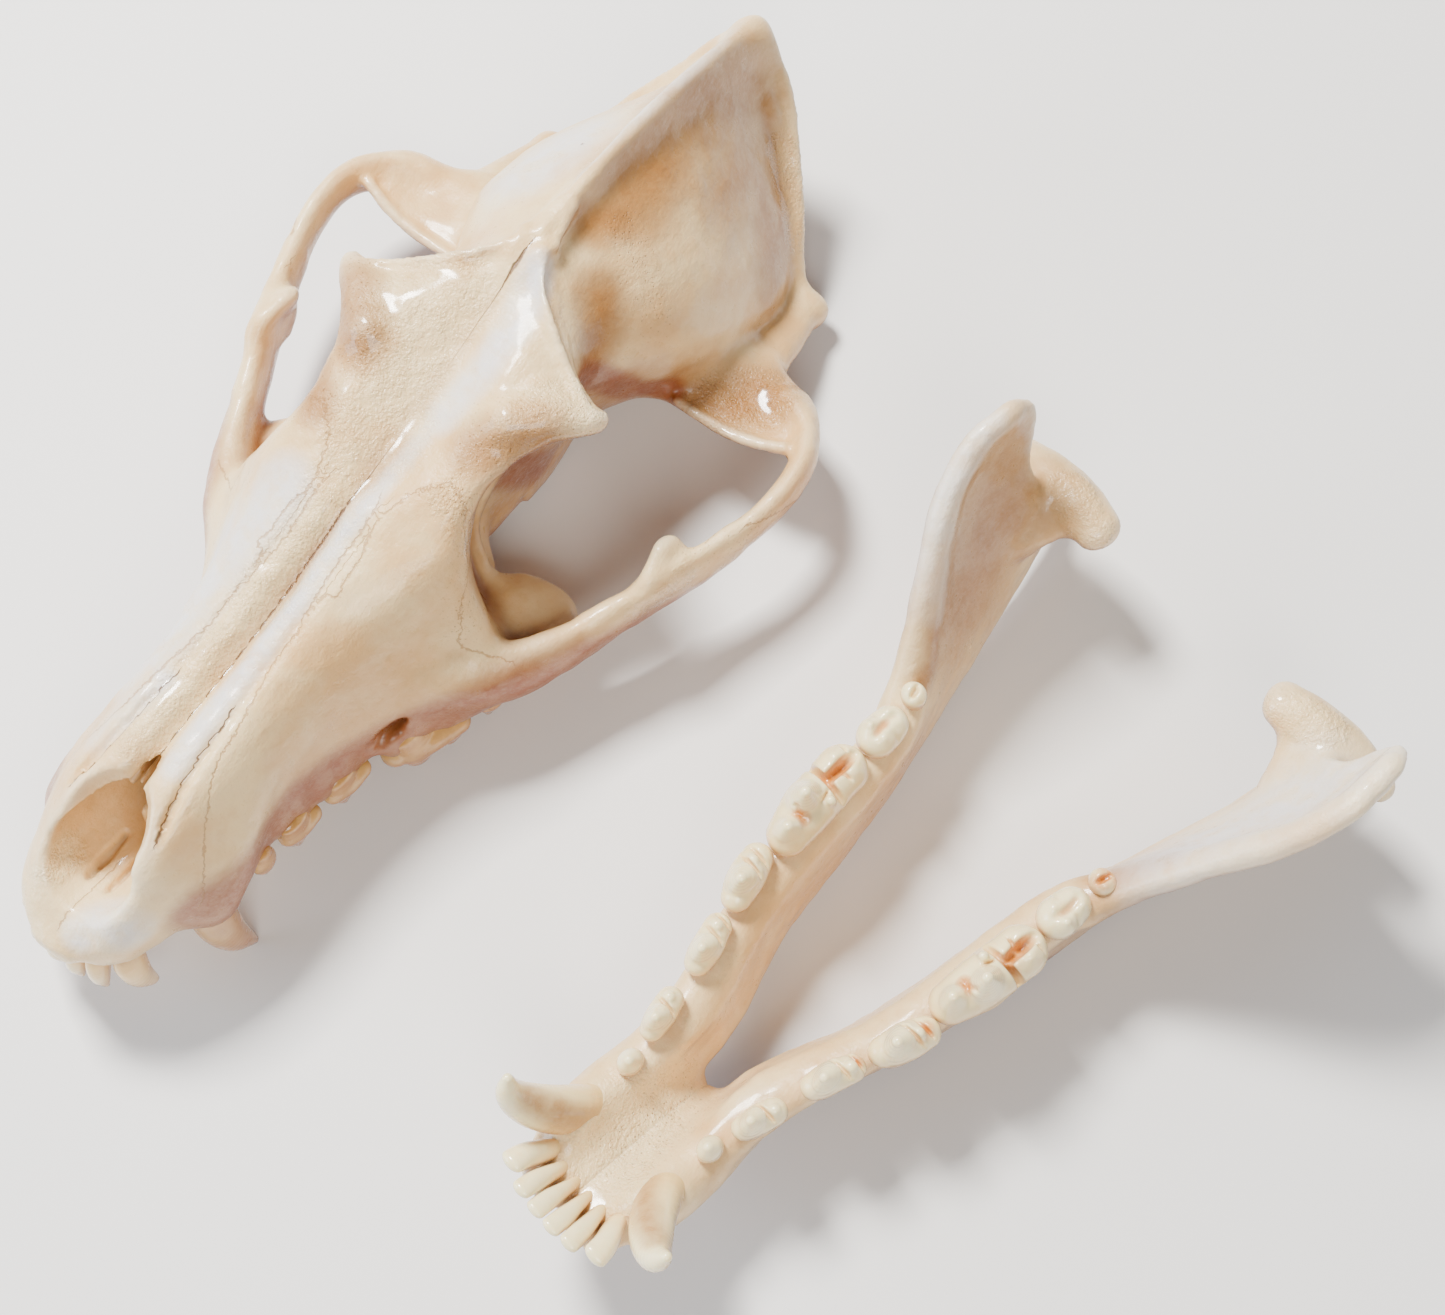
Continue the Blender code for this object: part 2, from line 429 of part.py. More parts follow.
def add_brow_and_crests(clay):
    """The postorbital process, the temporal line, and the sagittal and nuchal crests."""
    clay.strand([(105, 15, 49, 3.0), (110, 20.5, 48.8, 2.6), (114.6, 26.2, 47.6, 1.7)], 4)
    clay.strand([(115, 25, 47.8, 1.2), (119, 17.5, 51, 1.2), (123, 10, 54, 1.2), (131, 2.6, 56.6, 1.3)], 3)
    sagittal = [(126, 0, 55, 2.2, 1.2), (138, 0, 56.4, 2.4, 1.1), (152, 0, 57, 3, 1.1),
                (166, 0, 56, 3.2, 1.2),
                (180, 0, 53.6, 3.4, 1.3), (190, 0, 51.4, 3.4, 1.5), (198.5, 0, 48.6, 3, 2.4)]
    clay.strand(sagittal, 4)
    # the nuchal crest's rows are set in from its edge by their own height
    inward = np.array((0.5, 0.75, 0.42)) / np.linalg.norm((0.5, 0.75, 0.42))
    edge = [(200.3, 7.8, 42, 3.4, 1.8), (197.2, 13.4, 33.6, 4.0, 1.5), (189.8, 20.6, 24.4, 4.0, 1.4),
            (184, 25.4, 18.2, 3.8, 1.5), (180.5, 30, 13.2, 3.0, 1.8)]
    nuchal = [(198.6, 0, 48.4, 2.6, 2.8)]
    for x, y, z, height, thickness in edge:
        nuchal.append((*(np.array((x, y, z)) - inward * (height - 0.2)), height, thickness))
    nuchal.append((179.4, 32.4, 10.8, 2.0, 1.8))
    clay.strand(nuchal, 4, tall=inward)


def add_arch(clay):
    """The zygomatic arch, its frontal process, and the shelf over the jaw joint."""
    arch = [(71, 20, 11, 8, 5), (78, 27.4, 10.4, 8, 5.2), (84.5, 32.6, 10.6, 7.4, 4.2),
            (90.5, 36.2, 11.2, 6.8, 3.3),
            (96, 38.8, 12, 6.4, 2.7), (102, 41.2, 13.2, 6.2, 2.3), (108, 43.9, 14.4, 6.2, 2.1),
            (115, 46.9, 16, 6.2, 2), (122, 49.4, 17.8, 5.4, 2), (130, 51.8, 19.5, 4.8, 2.1),
            (138, 52.7, 20.8, 4.6, 2.3),
            (144.5, 51.6, 21, 4.4, 2.5), (149.5, 48.4, 20.4, 4.2, 3), (152, 43.5, 19.2, 3.8, 4.2)]
    clay.strand(arch, 3)
    process = [(110.5, 44.8, 17.5, 7, 1.9), (112.8, 43.9, 21, 5, 1.8), (114.2, 42.6, 23.8, 2.6, 1.5)]
    clay.strand(process, 2.5, tall=(1, 0, 0))
    shelf = [(151, 20, 18.5, 5, 9.5), (151, 29, 17.8, 3.6, 9.3), (150.6, 38, 18.2, 3, 8.8),
             (149.5, 45, 19.4, 3, 6)]
    clay.strand(shelf, 4)
    clay.strand([(158, 26, 10, 3, 3), (159, 33, 9.8, 3, 2.4), (158, 40, 12.5, 3, 2.2)], 4)
    clay.strand([(151, 27, 11.5, 4), (151, 44, 12.5, 4)], 3, cut=True)


def add_base(clay):
    """The mastoid ridge, ear capsule, jugular process, condyle and pterygoid hook."""
    clay.strand([(155, 32, 17, 3.4, 4.4), (163, 32.2, 15.4, 3.2, 4.2), (170, 31.8, 13.6, 3.2, 3.8),
                 (178, 31, 12, 3, 3)], 4)
    clay.ellipsoid((162, 15, 10.3), (12.5, 8.6, 8), 2.5)
    clay.strand([(177, 22, 13, 3.4), (181, 21.5, 10.4, 2.6), (184, 20.5, 9, 1.5)], 3)
    clay.ellipsoid((190, 9.3, 15.2), (6, 5.2, 7.0), 2.5)
    clay.strand([(170, 0, 20.5, 8), (204, 0, 18.5, 8.4)], 1.5, cut=True)
    clay.strand([(118, 9.2, 4, 5, 1.2), (126, 8.8, 3, 5, 1.1), (132, 8.4, 3.8, 3.4, 1),
                 (136, 8, 2.8, 1.6, 0.9)], 1.5)
    throat = [(99, 0, 4.4, 6, 6.5), (112, 0, 4, 6.5, 6.8), (128, 0, 3.5, 7, 6.8), (142, 0, 3, 6, 7)]
    clay.strand(throat, 1.5, cut=True)


def cut_face(clay):
    """The eye socket, the nose, the canine's root and the infraorbital foramen."""
    clay.ellipsoid((105, 27.5, 30.5), (19, 13.6, 12.5), 2.5, turn=math.radians(-18), cut=True)
    nose = [(-6, 0, 20.5, 8, 6.5), (4, 0, 18, 7.6, 7.4), (12, 0, 16.2, 8, 8.4), (20, 0, 15.8, 8.4, 9),
            (35, 0, 17, 9, 9),
            (58, 0, 18, 7, 7)]
    clay.strand(nose, 2, cut=True)
    clay.strand([(24.4, 0, 29.5, 1.6), (20, 0, 28.6, 5.6), (14, 0, 26.6, 8.6),
                 (4, 0, 22.5, 9.6)], 0.8, cut=True)
    clay.strand([(21, 14.6, 4, 4.4), (29, 13.4, 12, 3.6), (37, 11.5, 19, 2)], 5)
    clay.strand([(53, 23, 6.6, 1.8, 1.5), (60, 21.6, 7.4, 2.3, 1.9),
                 (70, 20.5, 10.5, 1.6, 1.2)], 1.2, cut=True)


def shape_jaw_half(voxel):
    """The right half of the lower jaw: its side outline, with a rounded edge, about a bent middle surface."""
    clay = Clay((-5, -4, -3), (161, 54, 62), voxel)
    x = clay.axes[0][:, None].astype(float)
    z = clay.axes[2][None, :].astype(float)
    outline = spline(SIDE + [SIDE[0]], 160)[:-1]
    middle = surface(MIDDLE)(x, z)
    half = np.maximum(surface(THICK)(x, z), 0.9)
    edge = np.maximum(surface(EDGE)(x, z), 0.9)
    inset = np.maximum(outline_distance(outline, x, z) + edge, 0)
    for j, y in enumerate(clay.axes[1]):
        across = np.abs(y - middle) * edge / half
        clay.field[:, j, :] = (np.hypot(inset, across) - edge) * np.minimum(half / edge, 1)
    add_jaw_details(clay)
    clay.field = np.maximum(clay.field, HALF_SEAM - clay.axes[1][None, :, None])
    return clay


def add_jaw_details(clay):
    """The coronoid's front edge, the jaw joint, the canine's root and the hollow behind the incisors."""
    coronoid = [(99, 24, 22, 3, 2.2), (105, 26.6, 27, 3.2, 2.2), (111, 30.4, 33.5, 3, 2.1),
                (118, 35.4, 41.6, 2.6, 1.9),
                (125, 39.8, 48.4, 2.2, 1.8), (133, 42.4, 53, 1.8, 1.5), (140.5, 42, 54.4, 1.4, 1.4)]
    clay.strand(coronoid, 3, tall=(1, 0, -0.8))
    joint = [(147.3, 22, 28, 3.4, 4.2), (148.3, 28, 28.2, 3.6, 4.2), (149.3, 36, 27.6, 3.2, 3.6),
             (149, 43.5, 26, 2.2, 2.6)]
    clay.strand(joint, 3)
    clay.strand([(139, 31, 23, 3.4, 3), (147.5, 31.5, 26.5, 4.2, 7.5)], 4)
    clay.strand([(12, 8.6, 22.4, 4.6), (20, 9, 17, 4.4), (30, 9, 13, 3)], 4)
    symphysis = [(6, 0.4, 20, 5.5, 4), (14, 0.4, 18, 6.5, 4.6), (22, 0.4, 14.5, 6.5, 4.6),
                 (29, 0.4, 10.5, 5, 4)]
    clay.strand(symphysis, 4)
    hollow = [(2, 0, 31.5, 7.5, 5), (12, 0, 29, 7, 6), (22, 0, 25, 6.6, 6), (30, 0, 21, 6.6, 5),
              (38, 0, 15, 7, 4)]
    clay.strand(hollow, 3, cut=True)


def shape_tooth(spec, voxel):
    """A tooth's crown with the stub of its root."""
    blend, lobes = spec
    rows = np.array([row for lobe in lobes for row in lobe])
    reach = rows[:, 3:].max() + 1.5
    low = np.floor((rows[:, :3].min(0) - reach) / voxel) * voxel
    clay = Clay(low, rows[:, :3].max(0) + reach, voxel)
    for lobe in lobes:
        rise = abs(lobe[-1][2] - lobe[0][2])
        if rise > abs(lobe[-1][0] - lobe[0][0]):
            clay.strand(lobe, blend, tall=(1, 0, 0))
        else:
            lying = [(x, y, z, width * 1.05, width) for x, y, z, length, width in lobe]
            clay.strand(lying, blend)
    return clay


def material(name, colour, roughness):
    """A plain Principled material."""
    mat = bpy.data.materials.new(name)
    mat.use_nodes = True
    shader = mat.node_tree.nodes['Principled BSDF']
    shader.inputs['Base Color'].default_value = colour
    shader.inputs['Roughness'].default_value = roughness
    return mat


def add_object(name, mesh, collection, parent, triangles):
    """An object in a frame, its mesh thinned out to about the given number of triangles."""
    thick = bpy.data.objects.new(name + ' clay', mesh)
    collection.objects.link(thick)
    thin = thick.modifiers.new('Decimate', 'DECIMATE')
    thin.ratio = min(1.0, triangles / (2 * len(mesh.polygons)))
    thin.use_collapse_triangulate = True
    graph = bpy.context.evaluated_depsgraph_get()
    finished = bpy.data.meshes.new_from_object(thick.evaluated_get(graph))
    bpy.data.objects.remove(thick)
    finished.name = name
    finished.shade_smooth()
    obj = bpy.data.objects.new(name, finished)
    collection.objects.link(obj)
    obj.parent = parent
    return obj


def add_socket(bone, tooth, cutters):
    """Cut the tooth's socket, a little wider than its root, out of the bone."""
    socket = bpy.data.objects.new(tooth.name + ' socket', tooth.data)
    cutters.objects.link(socket)
    socket.parent = tooth.parent
    grow = socket.modifiers.new('Clearance', 'DISPLACE')
    grow.strength = SOCKET_GAP * MM
    grow.mid_level = 0.0
    hide_cutter(socket)
    cut_with(bone, socket)


def hide_cutter(cutter):
    """Show a cutter as wire, and leave it out of renders."""
    cutter.hide_render = True
    cutter.display_type = 'WIRE'


def cut_with(obj, cutter):
    """Subtract a cutter with an exact Boolean."""
    cut = obj.modifiers.new('Cut ' + cutter.name, 'BOOLEAN')
    cut.operation = 'DIFFERENCE'
    cut.solver = 'EXACT'
    cut.object = cutter


def add_teeth(table, prefix, bones, parts, cutters, frame):
    """Both sides' teeth of one jaw, each in its socket."""
    for name, spec in table.items():
        clay = shape_tooth(spec, TOOTH_VOXEL)
        triangles = TOOTH_TRIANGLES + LOBE_TRIANGLES * len(spec[1])
        for side, block in (('right', clay), ('left', clay.mirror())):
            full_name = f'{prefix}_{name}_{side}'
            tooth = add_object(full_name, block.mesh(full_name), parts, frame, triangles)
            tooth.data.materials.append(material(full_name, TOOTH_COLOUR, 0.3))
            add_socket(bones[side], tooth, cutters)
            if full_name.startswith('upper_canine'):
                cut_with(tooth, cutters.objects['table cutter'])


def add_frame(name, turn, pitch, place, parts):
    """An empty that sets the frame of the cranium or of the jaw on the table."""
    frame = bpy.data.objects.new(name, None)
    parts.objects.link(frame)
    facing = Matrix(((0, -1, 0), (1, 0, 0), (0, 0, 1)))
    turned = Matrix.Rotation(turn, 3, 'Z') @ facing @ Matrix.Rotation(pitch, 3, 'Y')
    frame.matrix_world = Matrix.Translation(Vector(place) * MM) @ turned.to_4x4()
    return frame


def add_table_cutter(cutters):
    """A block below the table top, which flattens what touches the table."""
    bpy.ops.mesh.primitive_cube_add(size=1.0)
    block = bpy.context.object
    block.name = 'table cutter'
    block.scale = (0.6, 0.6, 0.04)
    block.location = (0.06, 0.1, -0.02)
    for holder in block.users_collection:
        holder.objects.unlink(block)
    cutters.objects.link(block)
    hide_cutter(block)
    return block


def centre_on_origin(parts, frames, table):
    """Move both frames so that the origin is below the middle of the whole object."""
    bpy.context.view_layer.update()
    graph = bpy.context.evaluated_depsgraph_get()
    corners = []
    for obj in parts.objects:
        if obj.type == 'MESH':
            shape = obj.evaluated_get(graph)
            corners += [shape.matrix_world @ Vector(corner) for corner in shape.bound_box]
    corners = np.array(corners)
    middle = (corners.min(0) + corners.max(0)) / 2
    for obj in frames + [table]:
        obj.location.x -= middle[0]
        obj.location.y -= middle[1]


def main():
    """Build the skull."""
    for obj in list(bpy.data.objects):
        bpy.data.objects.remove(obj)
    parts = bpy.data.collections.new('coyote skull')
    cutters = bpy.data.collections.new('cutters')
    bpy.context.scene.collection.children.link(parts)
    bpy.context.scene.collection.children.link(cutters)
    cranium_frame = add_frame('cranium frame', 0.0, CRANIUM_PITCH, CRANIUM_PLACE, parts)
    jaw_frame = add_frame('jaw frame', JAW_TURN, 0.0, JAW_PLACE, parts)
    table = add_table_cutter(cutters)

    clay = shape_cranium(BONE_VOXEL).whole()
    cranium = add_object('cranium', clay.mesh('cranium'), parts, cranium_frame, CRANIUM_TRIANGLES)
    cranium.data.materials.append(material('cranium', BONE_COLOUR, 0.5))
    cut_with(cranium, table)
    add_teeth(UPPER, 'upper', {'left': cranium, 'right': cranium}, parts, cutters, cranium_frame)

    clay = shape_jaw_half(BONE_VOXEL)
    halves = {}
    for side, block in (('right', clay), ('left', clay.mirror())):
        name = 'mandible_' + side
        half = add_object(name, block.mesh(name), parts, jaw_frame, JAW_TRIANGLES)
        half.data.materials.append(material(name, BONE_COLOUR, 0.5))
        cut_with(half, table)
        halves[side] = half
    add_teeth(LOWER, 'lower', halves, parts, cutters, jaw_frame)
    centre_on_origin(parts, [cranium_frame, jaw_frame], table)


if __name__ == '__main__':
    main()
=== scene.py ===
"""A coyote skull as it lies in the photograph: the cranium, and beside it the lower jaw.

The bones and teeth are shaped in finely divided clay, a block of voxels that holds the distance to the
surface. Rounded parts are added to it and cut from it, and its skin becomes the mesh. Only the right
side is shaped; the left is its mirror image. Cranium and jaw each have a frame of their own, in
millimetres: x runs back from the front teeth, y to the animal's right and z up.
"""
import math

import bpy
import numpy as np
import openvdb
from mathutils import Matrix, Vector


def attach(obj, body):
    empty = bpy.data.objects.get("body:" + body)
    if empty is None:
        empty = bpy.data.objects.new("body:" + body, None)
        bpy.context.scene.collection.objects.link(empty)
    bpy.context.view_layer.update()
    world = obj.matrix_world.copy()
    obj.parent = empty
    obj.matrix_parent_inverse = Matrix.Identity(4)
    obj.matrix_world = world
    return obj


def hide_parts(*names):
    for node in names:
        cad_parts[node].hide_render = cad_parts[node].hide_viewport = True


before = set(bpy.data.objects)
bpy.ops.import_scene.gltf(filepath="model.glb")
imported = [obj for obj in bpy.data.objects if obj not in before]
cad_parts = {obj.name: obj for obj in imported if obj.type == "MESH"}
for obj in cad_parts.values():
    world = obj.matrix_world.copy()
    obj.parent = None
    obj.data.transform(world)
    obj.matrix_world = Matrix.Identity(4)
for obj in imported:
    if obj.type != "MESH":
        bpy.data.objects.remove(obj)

bl_info = {
    'name': 'Coyote Skull',
    'version': (1, 0, 0),
    'blender': (4, 5, 0),
    'location': '3D View > Sidebar > Skull',
    'description': 'Builds a coyote skull with its lower jaw beside it',
    'category': 'Add Mesh',
}

MM = 0.001

# Triangles of the cranium and of each half of the jaw
CRANIUM_TRIANGLES = 190000
JAW_TRIANGLES = 90000

# Of the clay, in millimetres: the distance where nothing is near, and the room round each added shape
NOTHING_NEAR = 60.0
MARGIN = 2
SMALL = 1e-6
# Steps of a strand between two of its rows, points round half a section, and round the jaw's side
STRAND_STEPS = 5
SECTION_POINTS = 40
SIDE_POINTS = 160
# The least half thickness of the jaw, in millimetres
THINNEST = 0.9

# How the two pieces lie: the cranium on its canines and ear capsules, nose towards -Y
CRANIUM_PITCH = math.radians(7.95)
CRANIUM_PLACE = (-58.2310, -103.0471, 19.75)
JAW_TURN = math.radians(-11.9)
JAW_PLACE = (36.1690, -89.3471, -0.5)
# The halves run into each other a little, so no slit shows at the chin
HALF_SEAM = -0.5
# The cusps are crisper than the CAD model's
CUSP_BLEND = 0.5

# Half sections of the cranium without its arches: x, then (y, z) from the top of the midline down
SECTIONS = {
    -1.5: [(0, 6), (2.5, 5.5), (4, 4), (3, 1.5), (0, 1)],
    3: [(0, 9), (4, 9.5), (8, 9), (10, 6), (9.6, 2), (6, 0.5), (0, 1)],
    8: [(0, 14), (4, 14.8), (9.3, 14), (12.3, 9.5), (12.9, 4.5), (11, 0.3), (7, 0.2), (0, 2)],
    14: [(0, 21), (5, 22), (10, 20), (13.4, 14), (14.8, 8), (14.2, 2), (8, 1), (0, 3)],
    20: [(0, 25.6), (5, 26.4), (9.8, 24.4), (14, 18), (16.9, 10.5), (17.8, 4), (15.6, -0.5), (10, 1),
        (0, 3.5)],
    27: [(0, 27.8), (5, 28.6), (9.8, 27), (14, 21), (17.2, 12.5), (18, 5), (15.6, -0.2), (9, 2), (0, 4)],
    35: [(0, 28.9), (4.6, 29.9), (9.8, 28.8), (13.8, 23), (16.2, 14.5), (16.9, 6.5), (15.6, 0.2), (9, 2),
        (0, 4.5)],
    45: [(0, 30.5), (4.4, 31.4), (9.6, 30.6), (13.8, 25), (16.4, 15.5), (17.6, 7), (17, 0.3), (10, 2),
        (0, 4.5)],
    55: [(0, 32.5), (4.2, 33.6), (9.4, 33), (14, 28), (17.2, 18.5), (19, 8.5), (18.8, 0.3), (12, 2),
        (0, 4.5)],
    65: [(0, 35), (4.2, 36.2), (9.6, 35.7), (15, 31.5), (19.4, 21), (23, 10), (24, 0.6), (15, 2), (0, 4)],
    75: [(0, 38.5), (4.4, 39.5), (10.4, 39.2), (16.8, 35.8), (22, 26), (27.4, 13), (28.8, 1), (16, 2),
        (0, 3.5)],
    83: [(0, 42), (5, 42.8), (12, 42.4), (18.2, 39.8), (23, 30), (29, 16), (30, 2), (17, 2), (0, 3)],
    91: [(0, 44.6), (6, 45.6), (12.5, 45.4), (17.2, 43.4), (18, 37), (17, 26), (18.5, 14), (27, 8.5),
        (29.6, 5.5), (28, 1.8), (17, 1), (0, 3)],
    99: [(0, 47.2), (7, 48.2), (13.5, 47.8), (18.2, 45.8), (17.4, 42.4), (11.6, 35), (9.4, 25), (9.6, 14),
        (13, 8.5), (16, 4), (12, 1), (0, 3)],
    106: [(0, 49.8), (7.5, 50.8), (14.8, 50), (20.4, 47.6), (19.8, 44.6), (14, 38), (10.4, 29), (9.6, 18),
        (9.6, 9), (9.6, 3), (8.4, 0.2), (6, 2), (0, 8)],
    113: [(0, 52.6), (8, 53.4), (16.4, 52), (24.2, 48.8), (24, 46), (17, 40), (12.4, 31), (11, 20),
        (10.2, 10), (9.8, 3), (8.4, 0), (6, 2), (0, 9)],
    121: [(0, 55.6), (6, 55.4), (12, 52.8), (16.4, 48.8), (17.4, 43.6), (15.6, 37), (13.8, 29),
        (12.4, 20), (11, 11), (9.6, 4), (8.6, 1), (6.5, 3), (0, 10)],
    129: [(0, 56.8), (4.5, 55), (9.4, 51.6), (14, 46.6), (16.6, 40), (17, 31), (15.2, 22), (11.8, 14),
        (9.4, 8), (8.8, 4), (6.5, 5), (0, 11)],
    136: [(0, 57.6), (3.4, 55), (9.6, 51), (15.4, 45.4), (19.2, 38.4), (20, 30), (18, 20), (14, 14),
        (9, 12), (0, 11.5)],
    144: [(0, 58.2), (3, 55.2), (10.4, 50.8), (17, 45.2), (22, 38.6), (24.4, 30), (23.4, 20), (17, 13),
        (9, 11.5), (0, 11)],
    153: [(0, 58.4), (3, 55), (10.4, 50.2), (17.4, 44.4), (22.8, 37.6), (26.4, 29), (26.6, 20),
        (21, 12.5), (10, 10.5), (0, 10)],
    163: [(0, 58), (3, 54.4), (9.4, 49.4), (15.8, 43.6), (21.4, 36.8), (25.8, 28.6), (27.8, 19.6),
        (23, 11.5), (10, 10), (0, 9.5)],
    172: [(0, 57), (3, 53.2), (8.2, 48), (13.6, 42.2), (19.2, 35.4), (24.4, 27.4), (27.8, 19), (24.5, 11),
        (10, 9.6), (0, 9.2)],
    180: [(0, 55.6), (2.8, 52), (6.4, 47.2), (10.8, 41.6), (15.6, 35), (20.4, 28), (25, 19), (23.5, 10.5),
        (10, 9.2), (0, 9)],
    187: [(0, 54), (2.6, 50.6), (5, 46.2), (8, 41), (11.8, 35), (15.8, 28.6), (20, 21), (19, 13),
        (9, 9.2), (0, 9)],
    192: [(0, 52.6), (2.6, 49.6), (4.4, 45.6), (6.8, 40.6), (9.8, 35), (12.6, 29), (12.6, 22), (10.6, 16),
        (8.4, 11), (5, 9.5), (0, 9.5)],
    196: [(0, 51.6), (2.6, 49), (4.2, 45.4), (6.4, 40.6), (8.4, 36), (7, 33), (4, 32.6), (0, 33)],
    199: [(0, 50.4), (2.4, 48.4), (3.6, 45.4), (3, 43.4), (0, 43)],
}

# Side outline of a jaw half as (x, z), then its middle surface and half thickness as (x, z, value)
SIDE = [(-1.5, 23), (0, 24.4), (4, 24.4), (10, 24.2), (16, 24), (24, 23.4), (40, 23.4), (55, 23.8),
    (70, 24.4), (85, 24.8), (98, 25.4), (104.5, 28.2), (110, 34), (116, 41), (122, 48), (128, 52.4),
    (134, 55), (140, 55.8), (144, 54.4), (146.4, 51), (146.5, 47), (144, 41), (143.5, 36), (145.5, 31.5),
    (150, 29), (151, 25), (148, 21), (146, 17), (149, 13), (155, 11), (157, 8.6), (154, 6.4), (147, 6),
    (138, 5), (128, 3.4), (115, 1.4), (100, 0.2), (85, 0), (60, 1), (45, 3), (33, 6), (20, 10.5),
    (10, 16), (2, 20)]
MIDDLE = [(0, 22, 4.5), (10, 18, 6), (10, 25, 7), (20, 12, 6.3), (20, 24, 8), (33, 7, 6.6), (33, 24, 9.6),
    (46, 4, 9), (46, 24, 12.8), (57, 1, 13.4), (57, 24, 16.4), (72, 0, 16.2), (72, 25, 18.4),
    (86, 0, 19.2), (86, 25, 19.9), (98, 0, 21.2), (98, 26, 21.4), (107, 0, 23), (107, 13, 23.4),
    (107, 26, 26), (107, 31, 28), (115, 1, 24.8), (115, 13, 25.2), (115, 26, 28.6), (115, 39, 33.6),
    (123, 2, 26.4), (123, 13, 27), (123, 26, 31), (123, 47, 39.4), (131, 4, 28.4), (131, 13, 29),
    (131, 26, 32.2), (131, 40, 38), (131, 54, 42), (139, 5, 30.5), (139, 13, 31), (139, 26, 33),
    (139, 40, 38.2), (139, 56, 42.2), (147, 6, 33), (147, 14, 33), (147, 28, 33.5), (146, 52, 41.5),
    (155, 9, 36.5)]
THICK = [(0, 22, 6.5), (10, 18, 7), (20, 14, 7), (20, 24, 6), (33, 8, 5.8), (33, 22, 4.8), (46, 5, 5.2),
    (46, 22, 4.2), (60, 3, 5), (60, 20, 4.2), (78, 3, 4.8), (78, 20, 4.5), (96, 3, 4.4), (96, 20, 4.4),
    (107, 4, 3.6), (107, 28, 3.2), (115, 5, 3.2), (115, 15, 2.6), (115, 38, 2.4), (123, 5, 2.8),
    (123, 16, 2.2), (123, 30, 1.8), (123, 47, 1.8), (131, 6, 2.6), (131, 16, 2.1), (131, 40, 1.5),
    (131, 54, 1.5), (139, 8, 2.4), (139, 20, 2.4), (139, 40, 1.4), (139, 56, 1.4), (147, 8, 2.2),
    (147, 28, 2.8), (146, 52, 1.4), (155, 9, 1.8)]
# How wide the rounded edge of the jaw is, as (x, z, value)
EDGE = [(0, 22, 4), (20, 16, 6), (33, 8, 5), (33, 22, 4), (60, 3, 7), (60, 22, 4), (96, 3, 6),
    (96, 22, 4), (107, 15, 4), (115, 5, 4), (115, 38, 2.6), (131, 6, 3), (131, 40, 1.6), (139, 56, 1.6),
    (147, 8, 2.4), (147, 28, 2.4), (155, 9, 2)]

